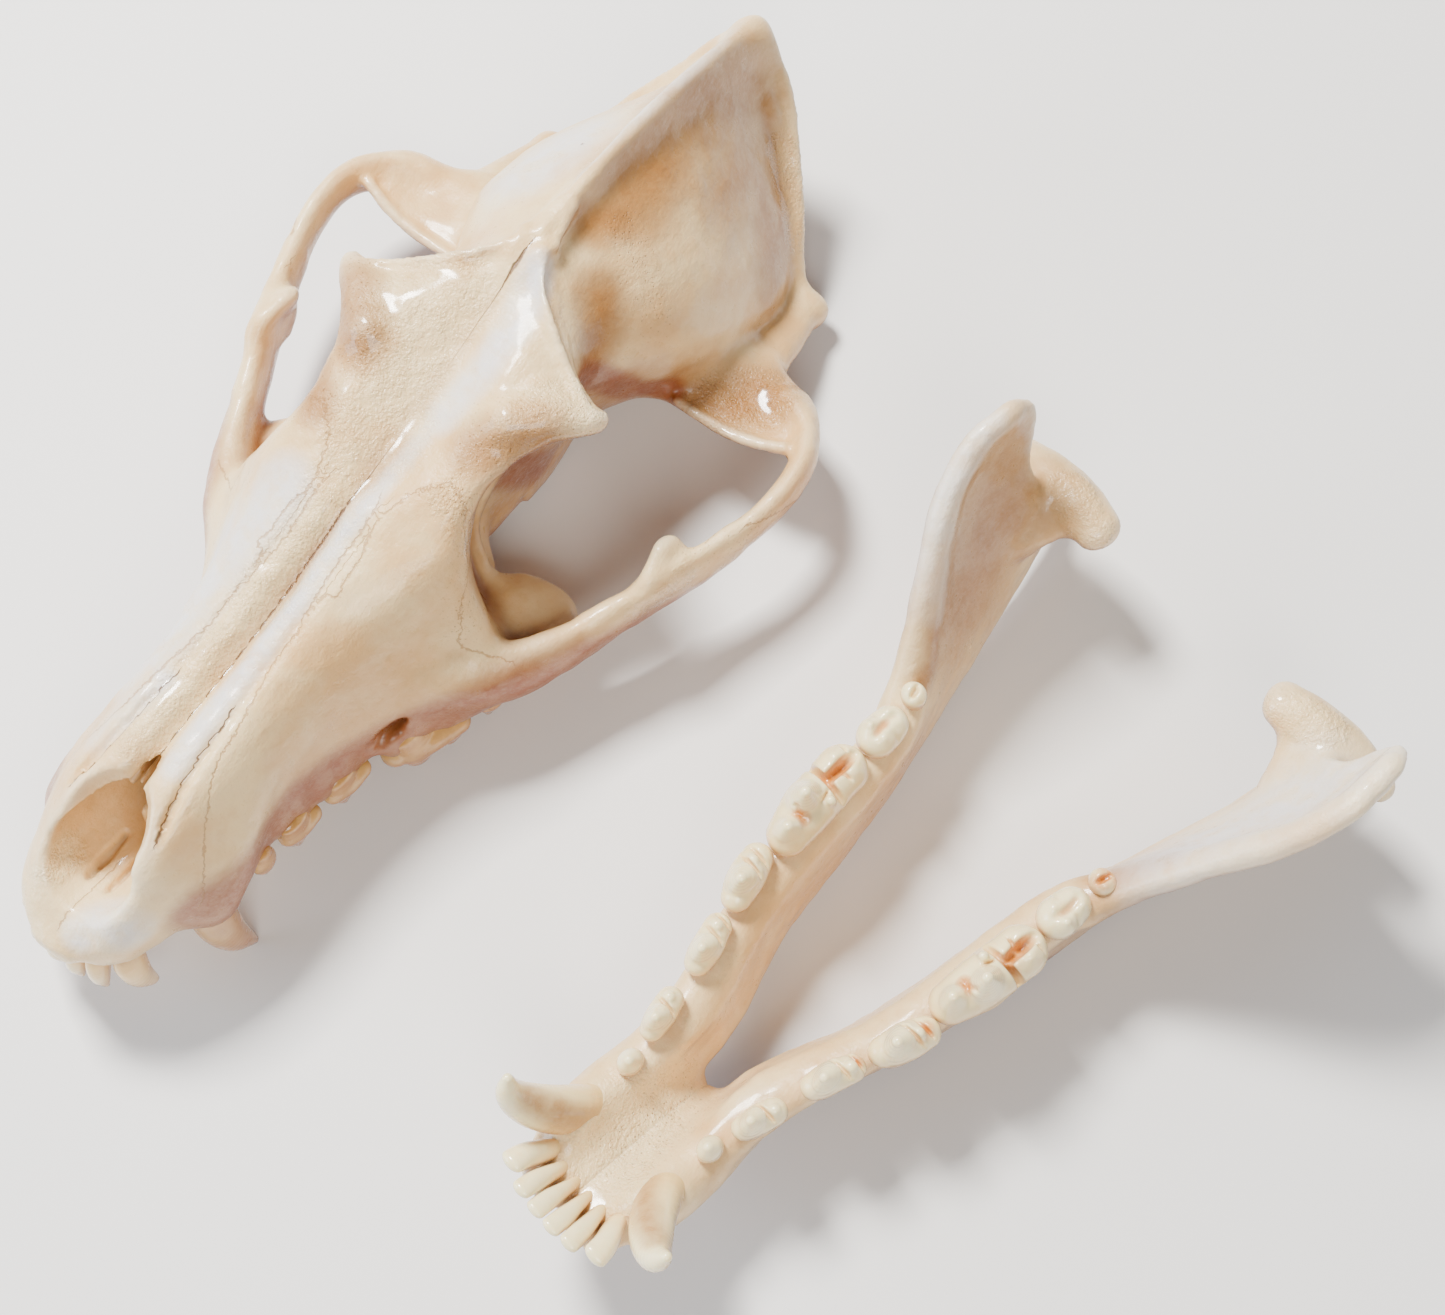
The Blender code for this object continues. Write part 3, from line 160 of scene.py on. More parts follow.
# Teeth: how softly the lobes blend, then lobes of (x, y, z, half length, half width)
UPPER = {
    'incisor_1': (0.5, [
        [(2.8, 2, 4, 2.2, 1.5), (1.4, 2.05, -0.5, 2.3, 1.75), (0.2, 2.15, -3.6, 1.7, 1.8),
         (-0.2, 2.2, -6.2, 0.8, 1.7)],
    ]),
    'incisor_2': (0.5, [
        [(3.6, 5.6, 4, 2.3, 1.6), (2.2, 6, -0.5, 2.5, 1.85), (1.2, 6.4, -3.8, 1.9, 1.9),
         (0.9, 6.5, -6.8, 0.9, 1.7)],
    ]),
    'incisor_3': (0.5, [
        [(6.6, 9.2, 4, 2.8, 1.8), (5.4, 10.2, -0.5, 3.1, 2.2), (5.2, 11.4, -4.6, 2.5, 2),
         (6.2, 12.4, -8, 1.4, 1.3), (7, 12.7, -9.6, 0.6, 0.6)],
    ]),
    'canine': (0.5, [
        [(20.4, 14.6, 6.5, 4, 3), (19.8, 16, 0, 4.2, 3.1), (19.9, 17.4, -4.5, 3.8, 2.8),
         (20.8, 18.6, -9.5, 2.9, 2.2), (22.3, 19.3, -13.4, 1.8, 1.5), (23.4, 19.6, -16.2, 0.9, 0.9)],
    ]),
    'premolar_1': (0.5, [
        [(32.4, 16.4, 3, 2, 1.6), (32.4, 16.6, -0.8, 2.6, 1.8), (32, 16.7, -4.4, 0.8, 0.7)],
    ]),
    'premolar_2': (0.8, [
        [(38.6, 16.9, -0.8, 2.2, 1.9), (41.2, 17.2, -1.2, 2.4, 2.1), (44.2, 17.5, -0.8, 2, 1.8)],
        [(40.4, 17.1, 3, 3.2, 1.6), (40.4, 17.1, -1.5, 3.4, 1.9), (40.2, 17.2, -6.6, 0.8, 0.7)],
    ]),
    'premolar_3': (0.8, [
        [(49.4, 18, -0.8, 2.4, 2), (52.6, 18.4, -1.3, 2.6, 2.3), (56, 18.9, -0.9, 2.2, 1.9)],
        [(51.8, 18.2, 3, 3.6, 1.7), (51.8, 18.2, -1.5, 3.8, 2), (51.4, 18.4, -7, 0.8, 0.7)],
    ]),
    'premolar_4': (1, [
        [(62.4, 21.6, -1.5, 3, 2.8), (68, 23.8, -2, 3.6, 3.4), (73.8, 26.7, -1.6, 2.7, 2.4)],
        [(66.6, 22.6, 3.5, 5.4, 2.4), (66.4, 23.4, -3, 4.4, 3), (65.9, 23.8, -8.9, 1, 0.9)],
        [(73.2, 26.4, -1.5, 3.4, 2.2), (73, 26.6, -6.6, 2.4, 0.9)],
        [(62.4, 18.6, 0.5, 2, 2), (62.2, 18.4, -3.4, 1.2, 1.2)],
    ]),
    'molar_1': (1.2, [
        [(80.9, 27.6, -0.4, 3.9, 3.6), (85.2, 27.2, -0.6, 4, 3.4)],
        [(82.8, 21.6, -0.2, 4.4, 4.4), (82.4, 20.2, -2.2, 2.6, 2.4)],
        [(82.6, 24.4, 4, 4.2, 4.2), (82.6, 24.4, 0, 4.4, 5.6)],
        [(80.6, 28.2, -2, 2.6, 2.2), (80.4, 28.4, -6.2, 0.9, 0.9)],
        [(86, 27.6, -2, 2.2, 2), (86, 27.6, -5.4, 0.9, 0.9)],
        [(82.4, 19.4, -2, 1.8, 1.6), (82.4, 19.4, -3.8, 0.9, 0.9)],
    ]),
    'molar_2': (1, [
        [(93.4, 24.4, 3, 2.2, 3), (93.4, 24.2, -0.6, 2.7, 3.6)],
        [(93.2, 20.4, -0.2, 2.2, 2.2), (93.2, 20.2, -1.4, 1.8, 1.8)],
        [(93.4, 26.2, -1.6, 1.8, 1.6), (93.4, 26.2, -3.2, 0.8, 0.8)],
    ]),
}

LOWER = {
    'incisor_1': (0.4, [
        [(6, 1.45, 19.5, 1.8, 1), (3.2, 1.6, 24.2, 1.9, 1.2), (-0.2, 1.85, 27.8, 1.6, 1.7),
         (-2.6, 1.88, 30, 0.9, 1.76)],
    ]),
    'incisor_2': (0.4, [
        [(6.4, 4.4, 19.5, 1.9, 1.1), (3.6, 4.8, 24.4, 2, 1.3), (0.2, 5.45, 28.2, 1.8, 1.75),
         (-2.1, 5.65, 30.4, 1, 1.8)],
    ]),
    'incisor_3': (0.4, [
        [(7.25, 7.4, 20.5, 2, 1.4), (4.9, 8.1, 24.6, 2.3, 1.6), (1.9, 9.5, 28, 2.1, 2.1),
         (-0.3, 9.9, 30.2, 1.2, 2.2)],
    ]),
    'canine': (0.5, [
        [(18, 8.8, 17.5, 3.6, 3), (13.4, 9.6, 23.6, 4.4, 3.5), (9.6, 12.2, 29, 4.1, 3.3),
         (7.2, 15, 33.2, 3.4, 2.9), (6.4, 17.2, 37.2, 2.4, 2.2), (7.4, 18.4, 41.2, 0.9, 0.9)],
    ]),
    'premolar_1': (0.4, [
        [(24.4, 9.6, 20.5, 1.9, 1.76), (24.4, 9.6, 24.6, 2.5, 2.09), (24.2, 9.5, 27.6, 1, 0.99)],
    ]),
    'premolar_2': (0.8, [
        [(30.6, 10.95, 25.5, 2.01, 2.09), (33, 11.65, 25.9, 2.33, 2.44), (36, 12.45, 25.7, 2.12, 2.32)],
        [(33, 11.55, 20.5, 3.18, 1.97), (32.6, 11.45, 26.5, 3.39, 2.2), (31.9, 11.35, 30.4, 0.95, 0.93)],
        [(36, 12.55, 25.5, 1.91, 1.97), (36, 12.55, 27.9, 1.06, 1.04)],
    ]),
    'premolar_3': (0.8, [
        [(43.6, 13.95, 25.5, 2.23, 2.32), (46.4, 14.75, 26.1, 2.54, 2.67), (50, 16.05, 25.8, 2.23, 2.44)],
        [(46.4, 14.75, 20.5, 3.6, 2.09), (46, 14.65, 26.5, 3.82, 2.44), (45.1, 14.45, 31, 0.95, 0.93)],
        [(49.8, 15.95, 26, 2.12, 2.09), (49.8, 15.95, 28.2, 1.17, 1.16)],
    ]),
    'premolar_4': (0.8, [
        [(55.8, 17.65, 25.7, 2.54, 2.67), (59.4, 18.95, 26.3, 3.07, 3.25),
         (62.8, 20.05, 26.1, 2.12, 2.78)],
        [(59.2, 18.85, 20.5, 4.24, 2.44), (58.8, 18.75, 26.9, 4.24, 2.9), (57.6, 18.45, 32, 1.06, 1.04)],
        [(61.4, 19.65, 26.5, 2.33, 2.32), (61.4, 19.65, 29.6, 1.06, 1.16)],
        [(63.6, 20.25, 26.5, 1.17, 1.86), (63.6, 20.25, 28, 0.85, 1.04)],
    ]),
    'molar_1': (1, [
        [(69.4, 19.45, 26.1, 3.82, 3.71), (75, 20.45, 26.5, 4.66, 4.52), (83.9, 21.35, 26.5, 4, 4.52)],
        [(76, 20.45, 20, 7.42, 3.25), (76, 20.45, 25.5, 8.06, 3.94)],
        [(75.4, 21.25, 27, 4.66, 3.94), (75, 21.35, 31, 3.18, 2.55), (74.8, 21.25, 35.4, 1.06, 1.04)],
        [(70, 19.75, 27, 3.82, 3.25), (69.6, 19.55, 29.6, 2.76, 2.2), (69.2, 19.45, 32.4, 1.06, 1.04)],
        [(77.6, 18.25, 28, 1.59, 1.62), (77.8, 18.05, 31, 0.85, 0.93)],
        [(83.6, 23.25, 27, 2.97, 2.55), (83.6, 23.05, 30, 1.27, 1.28)],
        [(84.4, 19.25, 27, 2.76, 2.32), (84.4, 19.45, 29.6, 1.17, 1.16)],
    ]),
    'molar_2': (1, [
        [(92.5, 21.55, 26.1, 2.76, 3.71), (95.7, 21.75, 25.9, 2.76, 3.36)],
        [(94.1, 21.65, 20.5, 3.18, 2.78), (94.1, 21.65, 25.5, 3.82, 3.48)],
        [(92.3, 23.35, 27.5, 1.7, 1.62), (92.3, 23.15, 29.4, 0.85, 0.93)],
        [(92.5, 20.05, 27.5, 1.59, 1.51), (92.5, 20.25, 29, 0.85, 0.93)],
        [(96.3, 22.85, 27.1, 1.59, 1.51), (96.3, 22.75, 28.6, 0.85, 0.93)],
        [(96.3, 20.65, 27.1, 1.48, 1.39), (96.3, 20.75, 28.2, 0.85, 0.93)],
    ]),
    'molar_3': (0.8, [
        [(102.1, 22.45, 22, 1.8, 1.97), (102.1, 22.45, 27.1, 2.23, 2.44),
         (102.1, 22.45, 27.9, 2.01, 2.2)],
        [(102.1, 22.85, 27.5, 1.27, 1.39), (102.1, 22.85, 28.8, 0.74, 0.81)],
    ]),
}


def smooth_min(a, b, blend):
    """The lesser of two distances, rounded where they meet."""
    meeting = np.maximum(blend - np.abs(a - b), 0.0) / blend
    return np.minimum(a, b) - meeting * meeting * blend * 0.25


def blend_corners(values, base, t):
    """A block's values at points, blended between the eight corners round each."""
    total = 0.0
    for corner in range(8):
        bit = np.array([corner >> i & 1 for i in range(3)])
        weight = np.prod(np.where(bit, t, 1 - t), axis=1)
        i, j, k = ((base + bit) % values.shape).T
        total = total + weight * values[i, j, k]
    return total


def spline(rows, count):
    """Rows along a smooth curve through the given rows of any width."""
    rows = np.asarray(rows, float)
    rows = np.vstack([2 * rows[0] - rows[1], rows, 2 * rows[-1] - rows[-2]])
    spans = len(rows) - 3
    curve = []
    for place in np.linspace(0, spans, count):
        i = min(int(place), spans - 1)
        t = place - i
        a, b, c, d = rows[i:i + 4]
        bend = (2 * a - 5 * b + 4 * c - d) * t ** 2 + (3 * b - a - 3 * c + d) * t ** 3
        curve.append(0.5 * (2 * b + (c - a) * t + bend))
    return np.array(curve)


def outline_distance(outline, u, v):
    """Distance in a plane to a closed outline, negative inside."""
    nearest = np.full(np.broadcast(u, v).shape, 1e9)
    inside = np.zeros(nearest.shape, bool)
    for (au, av), (bu, bv) in zip(outline, np.roll(outline, -1, axis=0)):
        eu, ev = bu - au, bv - av
        along = ((u - au) * eu + (v - av) * ev) / max(eu * eu + ev * ev, 1e-12)
        along = np.clip(along, 0, 1)
        nearest = np.minimum(nearest, (u - au - along * eu) ** 2 + (v - av - along * ev) ** 2)
        if av != bv:
            inside ^= ((av > v) != (bv > v)) & (u < eu * (v - av) / ev + au)
    return np.where(inside, -1, 1) * np.sqrt(nearest)


def surface(rows):
    """A smooth function of (x, z) through rows of (x, z, value)."""
    rows = np.asarray(rows, float)
    points = rows[:, :2]
    n = len(rows)
    system = np.zeros((n + 3, n + 3))
    system[:n, :n] = np.sqrt(((points[:, None] - points[None]) ** 2).sum(2))
    system[:n, n] = system[n, :n] = 1
    system[:n, n + 1:] = points
    system[n + 1:, :n] = points.T
    weights = np.linalg.solve(system, np.concatenate([rows[:, 2], np.zeros(3)]))

    def value(x, z):
        total = weights[n] + weights[n + 1] * x + weights[n + 2] * z
        for (px, pz), weight in zip(points, weights):
            total = total + weight * np.sqrt((x - px) ** 2 + (z - pz) ** 2)
        return total
    return value


class Clay:
    """A block of voxels that holds the distance to a surface, negative inside it."""

    def __init__(self, low, high, voxel):
        self.low = np.asarray(low, float)
        self.voxel = voxel
        count = np.ceil((np.asarray(high, float) - self.low) / voxel).astype(int) + 1
        self.field = np.full(count, NOTHING_NEAR, np.float32)
        self.axes = [(self.low[i] + voxel * np.arange(count[i])).astype(np.float32) for i in range(3)]

    def window(self, low, high):
        """The voxels between two corners, as slices and as coordinates."""
        shape = self.field.shape
        first = np.clip(np.floor((np.asarray(low) - self.low) / self.voxel).astype(int), 0, shape)
        last = np.clip(np.ceil((np.asarray(high) - self.low) / self.voxel).astype(int) + 1, 0, shape)
        part = tuple(slice(a, b) for a, b in zip(first, last))
        x = self.axes[0][part[0]][:, None, None]
        y = self.axes[1][part[1]][None, :, None]
        z = self.axes[2][part[2]][None, None, :]
        return part, x, y, z

    def put(self, part, distance, blend, cut):
        """Add a shape's distance to the block, or cut it out."""
        if cut:
            self.field[part] = -smooth_min(-self.field[part], distance, blend)
        else:
            self.field[part] = smooth_min(self.field[part], distance, blend)

    def ellipsoid(self, centre, radii, blend, turn=0.0, cut=False):
        """An ellipsoid, turned about the upright by an angle."""
        centre = np.asarray(centre, float)
        reach = max(radii) + blend + MARGIN
        part, x, y, z = self.window(centre - reach, centre + reach)
        dx, dy, dz = x - centre[0], y - centre[1], z - centre[2]
        c, s = math.cos(turn), math.sin(turn)
        local = (c * dx + s * dy, -s * dx + c * dy, dz)
        size = np.sqrt(sum((p / r) ** 2 for p, r in zip(local, radii)))
        slope = np.sqrt(sum((p / r ** 2) ** 2 for p, r in zip(local, radii)))
        distance = size * (size - 1) / np.maximum(slope, SMALL)
        self.put(part, distance.astype(np.float32), blend, cut)

    def strand(self, rows, blend, tall=(0, 0, 1), cut=False):
        """A tube through rows of (x, y, z, half height, half thickness); tall is the height's way."""
        rows = np.asarray(rows, float)
        if rows.shape[1] == 4:
            rows = np.hstack([rows, rows[:, 3:4]])
        curve = spline(rows, (len(rows) - 1) * STRAND_STEPS + 1)
        reach = curve[:, 3:].max() + blend + MARGIN
        part, x, y, z = self.window(curve[:, :3].min(0) - reach, curve[:, :3].max(0) + reach)
        total = np.full(self.field[part].shape, NOTHING_NEAR, np.float32)
        for a, b in zip(curve[:-1], curve[1:]):
            step = b[:3] - a[:3]
            length = np.linalg.norm(step)
            way = step / length
            up = np.asarray(tall, float) - way * (np.asarray(tall, float) @ way)
            up /= np.linalg.norm(up)
            side = np.cross(way, up)
            room = max(a[3], a[4], b[3], b[4]) + blend + MARGIN
            low = np.minimum(a[:3], b[:3]) - room
            sub, sx, sy, sz = self.window(low, np.maximum(a[:3], b[:3]) + room)
            if any(s.stop <= s.start for s in sub):
                continue
            wx, wy, wz = sx - a[0], sy - a[1], sz - a[2]
            t = np.clip((wx * way[0] + wy * way[1] + wz * way[2]) / length, 0, 1)
            qx, qy, qz = wx - t * step[0], wy - t * step[1], wz - t * step[2]
            half_up = a[3] + (b[3] - a[3]) * t
            half_side = a[4] + (b[4] - a[4]) * t
            half_way = np.minimum(half_up, half_side)
            size = 0.0
            slope = 0.0
            for axis, half in ((up, half_up), (side, half_side), (way, half_way)):
                q = (qx * axis[0] + qy * axis[1] + qz * axis[2]) / half
                size = size + q * q
                slope = slope + (q / half) ** 2
            size = np.sqrt(size)
            distance = size * (size - 1) / np.maximum(np.sqrt(slope), SMALL)
            local = tuple(slice(s.start - p.start, s.stop - p.start) for s, p in zip(sub, part))
            total[local] = np.minimum(total[local], distance)
        self.put(part, total, blend, cut)

    def loft(self, sections):
        """Half sections across x, blended smoothly from each to the next."""
        xs = np.array(sorted(sections))
        y = self.axes[1][:, None].astype(float)
        z = self.axes[2][None, :].astype(float)
        faces = []
        for x in xs:
            half = spline(sections[x], SECTION_POINTS)
            other = half[::-1] * (-1, 1)
            faces.append(outline_distance(np.vstack([half, other[np.abs(other[:, 0]) > SMALL]]), y, z))
        faces = np.array(faces)
        slopes = np.gradient(faces, xs, axis=0)
        for i, x in enumerate(self.axes[0]):
            if x < xs[0] or x > xs[-1]:
                end = 0 if x < xs[0] else -1
                beyond = abs(x - xs[end])
                self.field[i] = np.sqrt(np.maximum(faces[end], 0) ** 2 + beyond ** 2)
                continue
            k = min(int(np.searchsorted(xs, x, side='right')) - 1, len(xs) - 2)
            h = xs[k + 1] - xs[k]
            t = (x - xs[k]) / h
            start = (1 + 2 * t) * (1 - t) ** 2 * faces[k] + t * (1 - t) ** 2 * h * slopes[k]
            finish = t * t * (3 - 2 * t) * faces[k + 1] + t * t * (t - 1) * h * slopes[k + 1]
            self.field[i] = start + finish

    def mirror(self):
        """The same block on the other side of y = 0."""
        other = Clay(self.low, self.low, self.voxel)
        other.field = self.field[:, ::-1, :]
        other.axes = [self.axes[0], -self.axes[1][::-1], self.axes[2]]
        other.low = np.array([self.low[0], other.axes[1][0], self.low[2]])
        return other

    def whole(self):
        """The block joined to its mirror image; it must start at y = 0."""
        full = self.mirror()
        full.field = np.concatenate([full.field[:, :-1, :], self.field], axis=1)
        return full

    def mesh(self, name):
        """The skin of the clay."""
        band = 3 * self.voxel
        field = np.clip(self.field, -band, band).astype(np.float32)
        for axis in range(3):
            np.moveaxis(field, axis, 0)[[0, -1]] = band
        grid = openvdb.FloatGrid(band)
        grid.copyFromArray(field, tolerance=0.0)
        points, quads = grid.convertToQuads(0.0)
        points = points * self.voxel + self.low
        mesh = bpy.data.meshes.new(name)
        mesh.from_pydata(points.tolist(), [], quads.tolist())
        return mesh

    def sample(self, points):
        """The distance at points, blended between voxels."""
        place = (np.asarray(points) - self.low) / self.voxel
        place = np.clip(place, 0, np.array(self.field.shape) - 1.001)
        base = place.astype(int)
        return blend_corners(self.field, base, place - base)

    def hollowness(self, points, radius):
        """How far points lie in a hollow, from about -1 on a sharp edge to 1 in a crease."""
        total = 0.0
        for axis in range(3):
            for way in (-radius, radius):
                step = np.zeros(3)
                step[axis] = way
                total = total + self.sample(points + step)
        return -total / 6 / radius * 2


def shape_cranium(voxel):
    """The right half of the cranium."""
    clay = Clay((-6, 0, -4), (206, 58, 64), voxel)
    clay.loft(SECTIONS)
    add_brow_and_crests(clay)
    add_arch(clay)
    add_base(clay)
    cut_face(clay)
    return clay


def add_brow_and_crests(clay):
    """The postorbital process, the temporal line, and the sagittal and nuchal crests."""
    clay.strand([(105, 15, 49, 3.0), (110, 20.5, 48.8, 2.6), (114.6, 26.2, 47.6, 1.7)], 4)
    clay.strand([(115, 25, 47.8, 1.2), (119, 17.5, 51, 1.2), (123, 10, 54, 1.2), (131, 2.6, 56.6, 1.3)], 3)
    sagittal = [(126, 0, 55, 2.2, 1.2), (138, 0, 56.4, 2.4, 1.1), (152, 0, 57, 3, 1.1),
                (166, 0, 56, 3.2, 1.2), (180, 0, 53.6, 3.4, 1.3), (190, 0, 51.4, 3.4, 1.5),
                (198.5, 0, 48.6, 3, 2.4)]
    clay.strand(sagittal, 4)
    # the nuchal crest's rows are set in from its edge by their own height
    inward = np.array((0.5, 0.75, 0.42)) / np.linalg.norm((0.5, 0.75, 0.42))
    edge = [(200.3, 7.8, 42, 3.4, 1.8), (197.2, 13.4, 33.6, 4.0, 1.5), (189.8, 20.6, 24.4, 4.0, 1.4),
            (184, 25.4, 18.2, 3.8, 1.5), (180.5, 30, 13.2, 3.0, 1.8)]
    nuchal = [(198.6, 0, 48.4, 2.6, 2.8)]
    for x, y, z, height, thickness in edge:
        nuchal.append((*(np.array((x, y, z)) - inward * (height - 0.2)), height, thickness))
    nuchal.append((179.4, 32.4, 10.8, 2.0, 1.8))
    clay.strand(nuchal, 4, tall=inward)


def add_arch(clay):
    """The zygomatic arch, its frontal process, and the shelf over the jaw joint."""
    arch = [(71, 20, 11, 8, 5), (78, 27.4, 10.4, 8, 5.2), (84.5, 32.6, 10.6, 7.4, 4.2),
            (90.5, 36.2, 11.2, 6.8, 3.3), (96, 38.8, 12, 6.4, 2.7), (102, 41.2, 13.2, 6.2, 2.3),
            (108, 43.9, 14.4, 6.2, 2.1), (115, 46.9, 16, 6.2, 2), (122, 49.4, 17.8, 5.4, 2),
            (130, 51.8, 19.5, 4.8, 2.1), (138, 52.7, 20.8, 4.6, 2.3), (144.5, 51.6, 21, 4.4, 2.5),
            (149.5, 48.4, 20.4, 4.2, 3), (152, 43.5, 19.2, 3.8, 4.2)]
    clay.strand(arch, 3)
    process = [(110.5, 44.8, 17.5, 7, 1.9), (112.8, 43.9, 21, 5, 1.8), (114.2, 42.6, 23.8, 2.6, 1.5)]
    clay.strand(process, 2.5, tall=(1, 0, 0))
    shelf = [(151, 20, 18.5, 5, 9.5), (151, 29, 17.8, 3.6, 9.3), (150.6, 38, 18.2, 3, 8.8),
             (149.5, 45, 19.4, 3, 6)]
    clay.strand(shelf, 4)
    clay.strand([(158, 26, 10, 3, 3), (159, 33, 9.8, 3, 2.4), (158, 40, 12.5, 3, 2.2)], 4)
    clay.strand([(151, 27, 11.5, 4), (151, 44, 12.5, 4)], 3, cut=True)


def add_base(clay):
    """The mastoid ridge, ear capsule, jugular process, condyle and pterygoid hook."""
    clay.strand([(155, 32, 17, 3.4, 4.4), (163, 32.2, 15.4, 3.2, 4.2), (170, 31.8, 13.6, 3.2, 3.8),
                 (178, 31, 12, 3, 3)], 4)
    clay.ellipsoid((162, 15, 10.3), (12.5, 8.6, 8), 2.5)
    clay.strand([(177, 22, 13, 3.4), (181, 21.5, 10.4, 2.6), (184, 20.5, 9, 1.5)], 3)
    clay.ellipsoid((190, 9.3, 15.2), (6, 5.2, 7.0), 2.5)
    clay.strand([(170, 0, 20.5, 8), (204, 0, 18.5, 8.4)], 1.5, cut=True)
    clay.strand([(118, 9.2, 4, 5, 1.2), (126, 8.8, 3, 5, 1.1), (132, 8.4, 3.8, 3.4, 1),
                 (136, 8, 2.8, 1.6, 0.9)], 1.5)
    throat = [(99, 0, 4.4, 6, 6.5), (112, 0, 4, 6.5, 6.8), (128, 0, 3.5, 7, 6.8), (142, 0, 3, 6, 7)]
    clay.strand(throat, 1.5, cut=True)


def cut_face(clay):
    """The eye socket, the nose, the canine's root and the infraorbital foramen."""
    clay.ellipsoid((105, 27.5, 30.5), (19, 13.6, 12.5), 2.5, turn=math.radians(-18), cut=True)
    nose = [(-6, 0, 20.5, 8, 6.5), (4, 0, 18, 7.6, 7.4), (12, 0, 16.2, 8, 8.4), (20, 0, 15.8, 8.4, 9),
            (35, 0, 17, 9, 9), (58, 0, 18, 7, 7)]
    clay.strand(nose, 2, cut=True)
    clay.strand([(24.4, 0, 29.5, 1.6), (20, 0, 28.6, 5.6), (14, 0, 26.6, 8.6), (4, 0, 22.5, 9.6)], 0.8,
                cut=True)
    clay.strand([(21, 14.6, 4, 4.4), (29, 13.4, 12, 3.6), (37, 11.5, 19, 2)], 5)
    clay.strand([(53, 23, 6.6, 1.8, 1.5), (60, 21.6, 7.4, 2.3, 1.9), (70, 20.5, 10.5, 1.6, 1.2)], 1.2,
                cut=True)


def shape_jaw_half(voxel):
    """The right half of the lower jaw: its side outline, with a rounded edge, about a bent middle surface."""
    clay = Clay((-5, -4, -3), (161, 54, 62), voxel)
    x = clay.axes[0][:, None].astype(float)
    z = clay.axes[2][None, :].astype(float)
    outline = spline(SIDE + [SIDE[0]], SIDE_POINTS)[:-1]
    middle = surface(MIDDLE)(x, z)
    half = np.maximum(surface(THICK)(x, z), THINNEST)
    edge = np.maximum(surface(EDGE)(x, z), THINNEST)
    inset = np.maximum(outline_distance(outline, x, z) + edge, 0)
    for j, y in enumerate(clay.axes[1]):
        across = np.abs(y - middle) * edge / half
        clay.field[:, j, :] = (np.hypot(inset, across) - edge) * np.minimum(half / edge, 1)
    add_jaw_details(clay)
    clay.field = np.maximum(clay.field, HALF_SEAM - clay.axes[1][None, :, None])
    return clay


def add_jaw_details(clay):
    """The coronoid's front edge, the jaw joint, the canine's root and the hollow behind the incisors."""
    coronoid = [(99, 24, 22, 3, 2.2), (105, 26.6, 27, 3.2, 2.2), (111, 30.4, 33.5, 3, 2.1),
                (118, 35.4, 41.6, 2.6, 1.9), (125, 39.8, 48.4, 2.2, 1.8), (133, 42.4, 53, 1.8, 1.5),
                (140.5, 42, 54.4, 1.4, 1.4)]
    clay.strand(coronoid, 3, tall=(1, 0, -0.8))
    joint = [(147.3, 22, 28, 3.4, 4.2), (148.3, 28, 28.2, 3.6, 4.2), (149.3, 36, 27.6, 3.2, 3.6),
             (149, 43.5, 26, 2.2, 2.6)]
    clay.strand(joint, 3)
    clay.strand([(139, 31, 23, 3.4, 3), (147.5, 31.5, 26.5, 4.2, 7.5)], 4)
    clay.strand([(12, 8.6, 22.4, 4.6), (20, 9, 17, 4.4), (30, 9, 13, 3)], 4)
    symphysis = [(6, 0.4, 20, 5.5, 4), (14, 0.4, 18, 6.5, 4.6), (22, 0.4, 14.5, 6.5, 4.6),
                 (29, 0.4, 10.5, 5, 4)]
    clay.strand(symphysis, 4)
    hollow = [(2, 0, 31.5, 7.5, 5), (12, 0, 29, 7, 6), (22, 0, 25, 6.6, 6), (30, 0, 21, 6.6, 5),
              (38, 0, 15, 7, 4)]
    clay.strand(hollow, 3, cut=True)


def shape_tooth(spec, voxel):
    """A tooth's crown with the stub of its root."""
    blend, lobes = spec
    blend *= CUSP_BLEND
    rows = np.array([row for lobe in lobes for row in lobe])
    reach = rows[:, 3:].max() + 1.5
    low = np.floor((rows[:, :3].min(0) - reach) / voxel) * voxel
    clay = Clay(low, rows[:, :3].max(0) + reach, voxel)
    for lobe in lobes:
        rise = abs(lobe[-1][2] - lobe[0][2])
        if rise > abs(lobe[-1][0] - lobe[0][0]):
            clay.strand(lobe, blend, tall=(1, 0, 0))
        else:
            lying = [(x, y, z, width * 1.05, width) for x, y, z, length, width in lobe]
            clay.strand(lying, blend)
    return clay


def table_matrix(turn, pitch, place):
    """From a frame in millimetres to the table in metres."""
    facing = Matrix(((0, -1, 0), (1, 0, 0), (0, 0, 1)))
    turned = Matrix.Rotation(turn, 3, 'Z') @ facing @ Matrix.Rotation(pitch, 3, 'Y')
    return (Matrix.Translation(Vector(place) * MM) @ turned.to_4x4()) @ Matrix.Scale(MM, 4)


CRANIUM_TABLE = table_matrix(0.0, CRANIUM_PITCH, CRANIUM_PLACE)
JAW_TABLE = table_matrix(JAW_TURN, 0.0, JAW_PLACE)


# Cells of the noise lattice each way, before it repeats
LATTICE = 32


def lattice_noise(points, cell, seed):
    """Smooth noise of about -1 to 1 at points, with bumps of about a cell's size."""
    values = np.random.default_rng(seed).uniform(-1, 1, (LATTICE, LATTICE, LATTICE))
    place = np.asarray(points) / cell
    base = np.floor(place).astype(int)
    t = place - base
    return blend_corners(values, base, t * t * (3 - 2 * t))


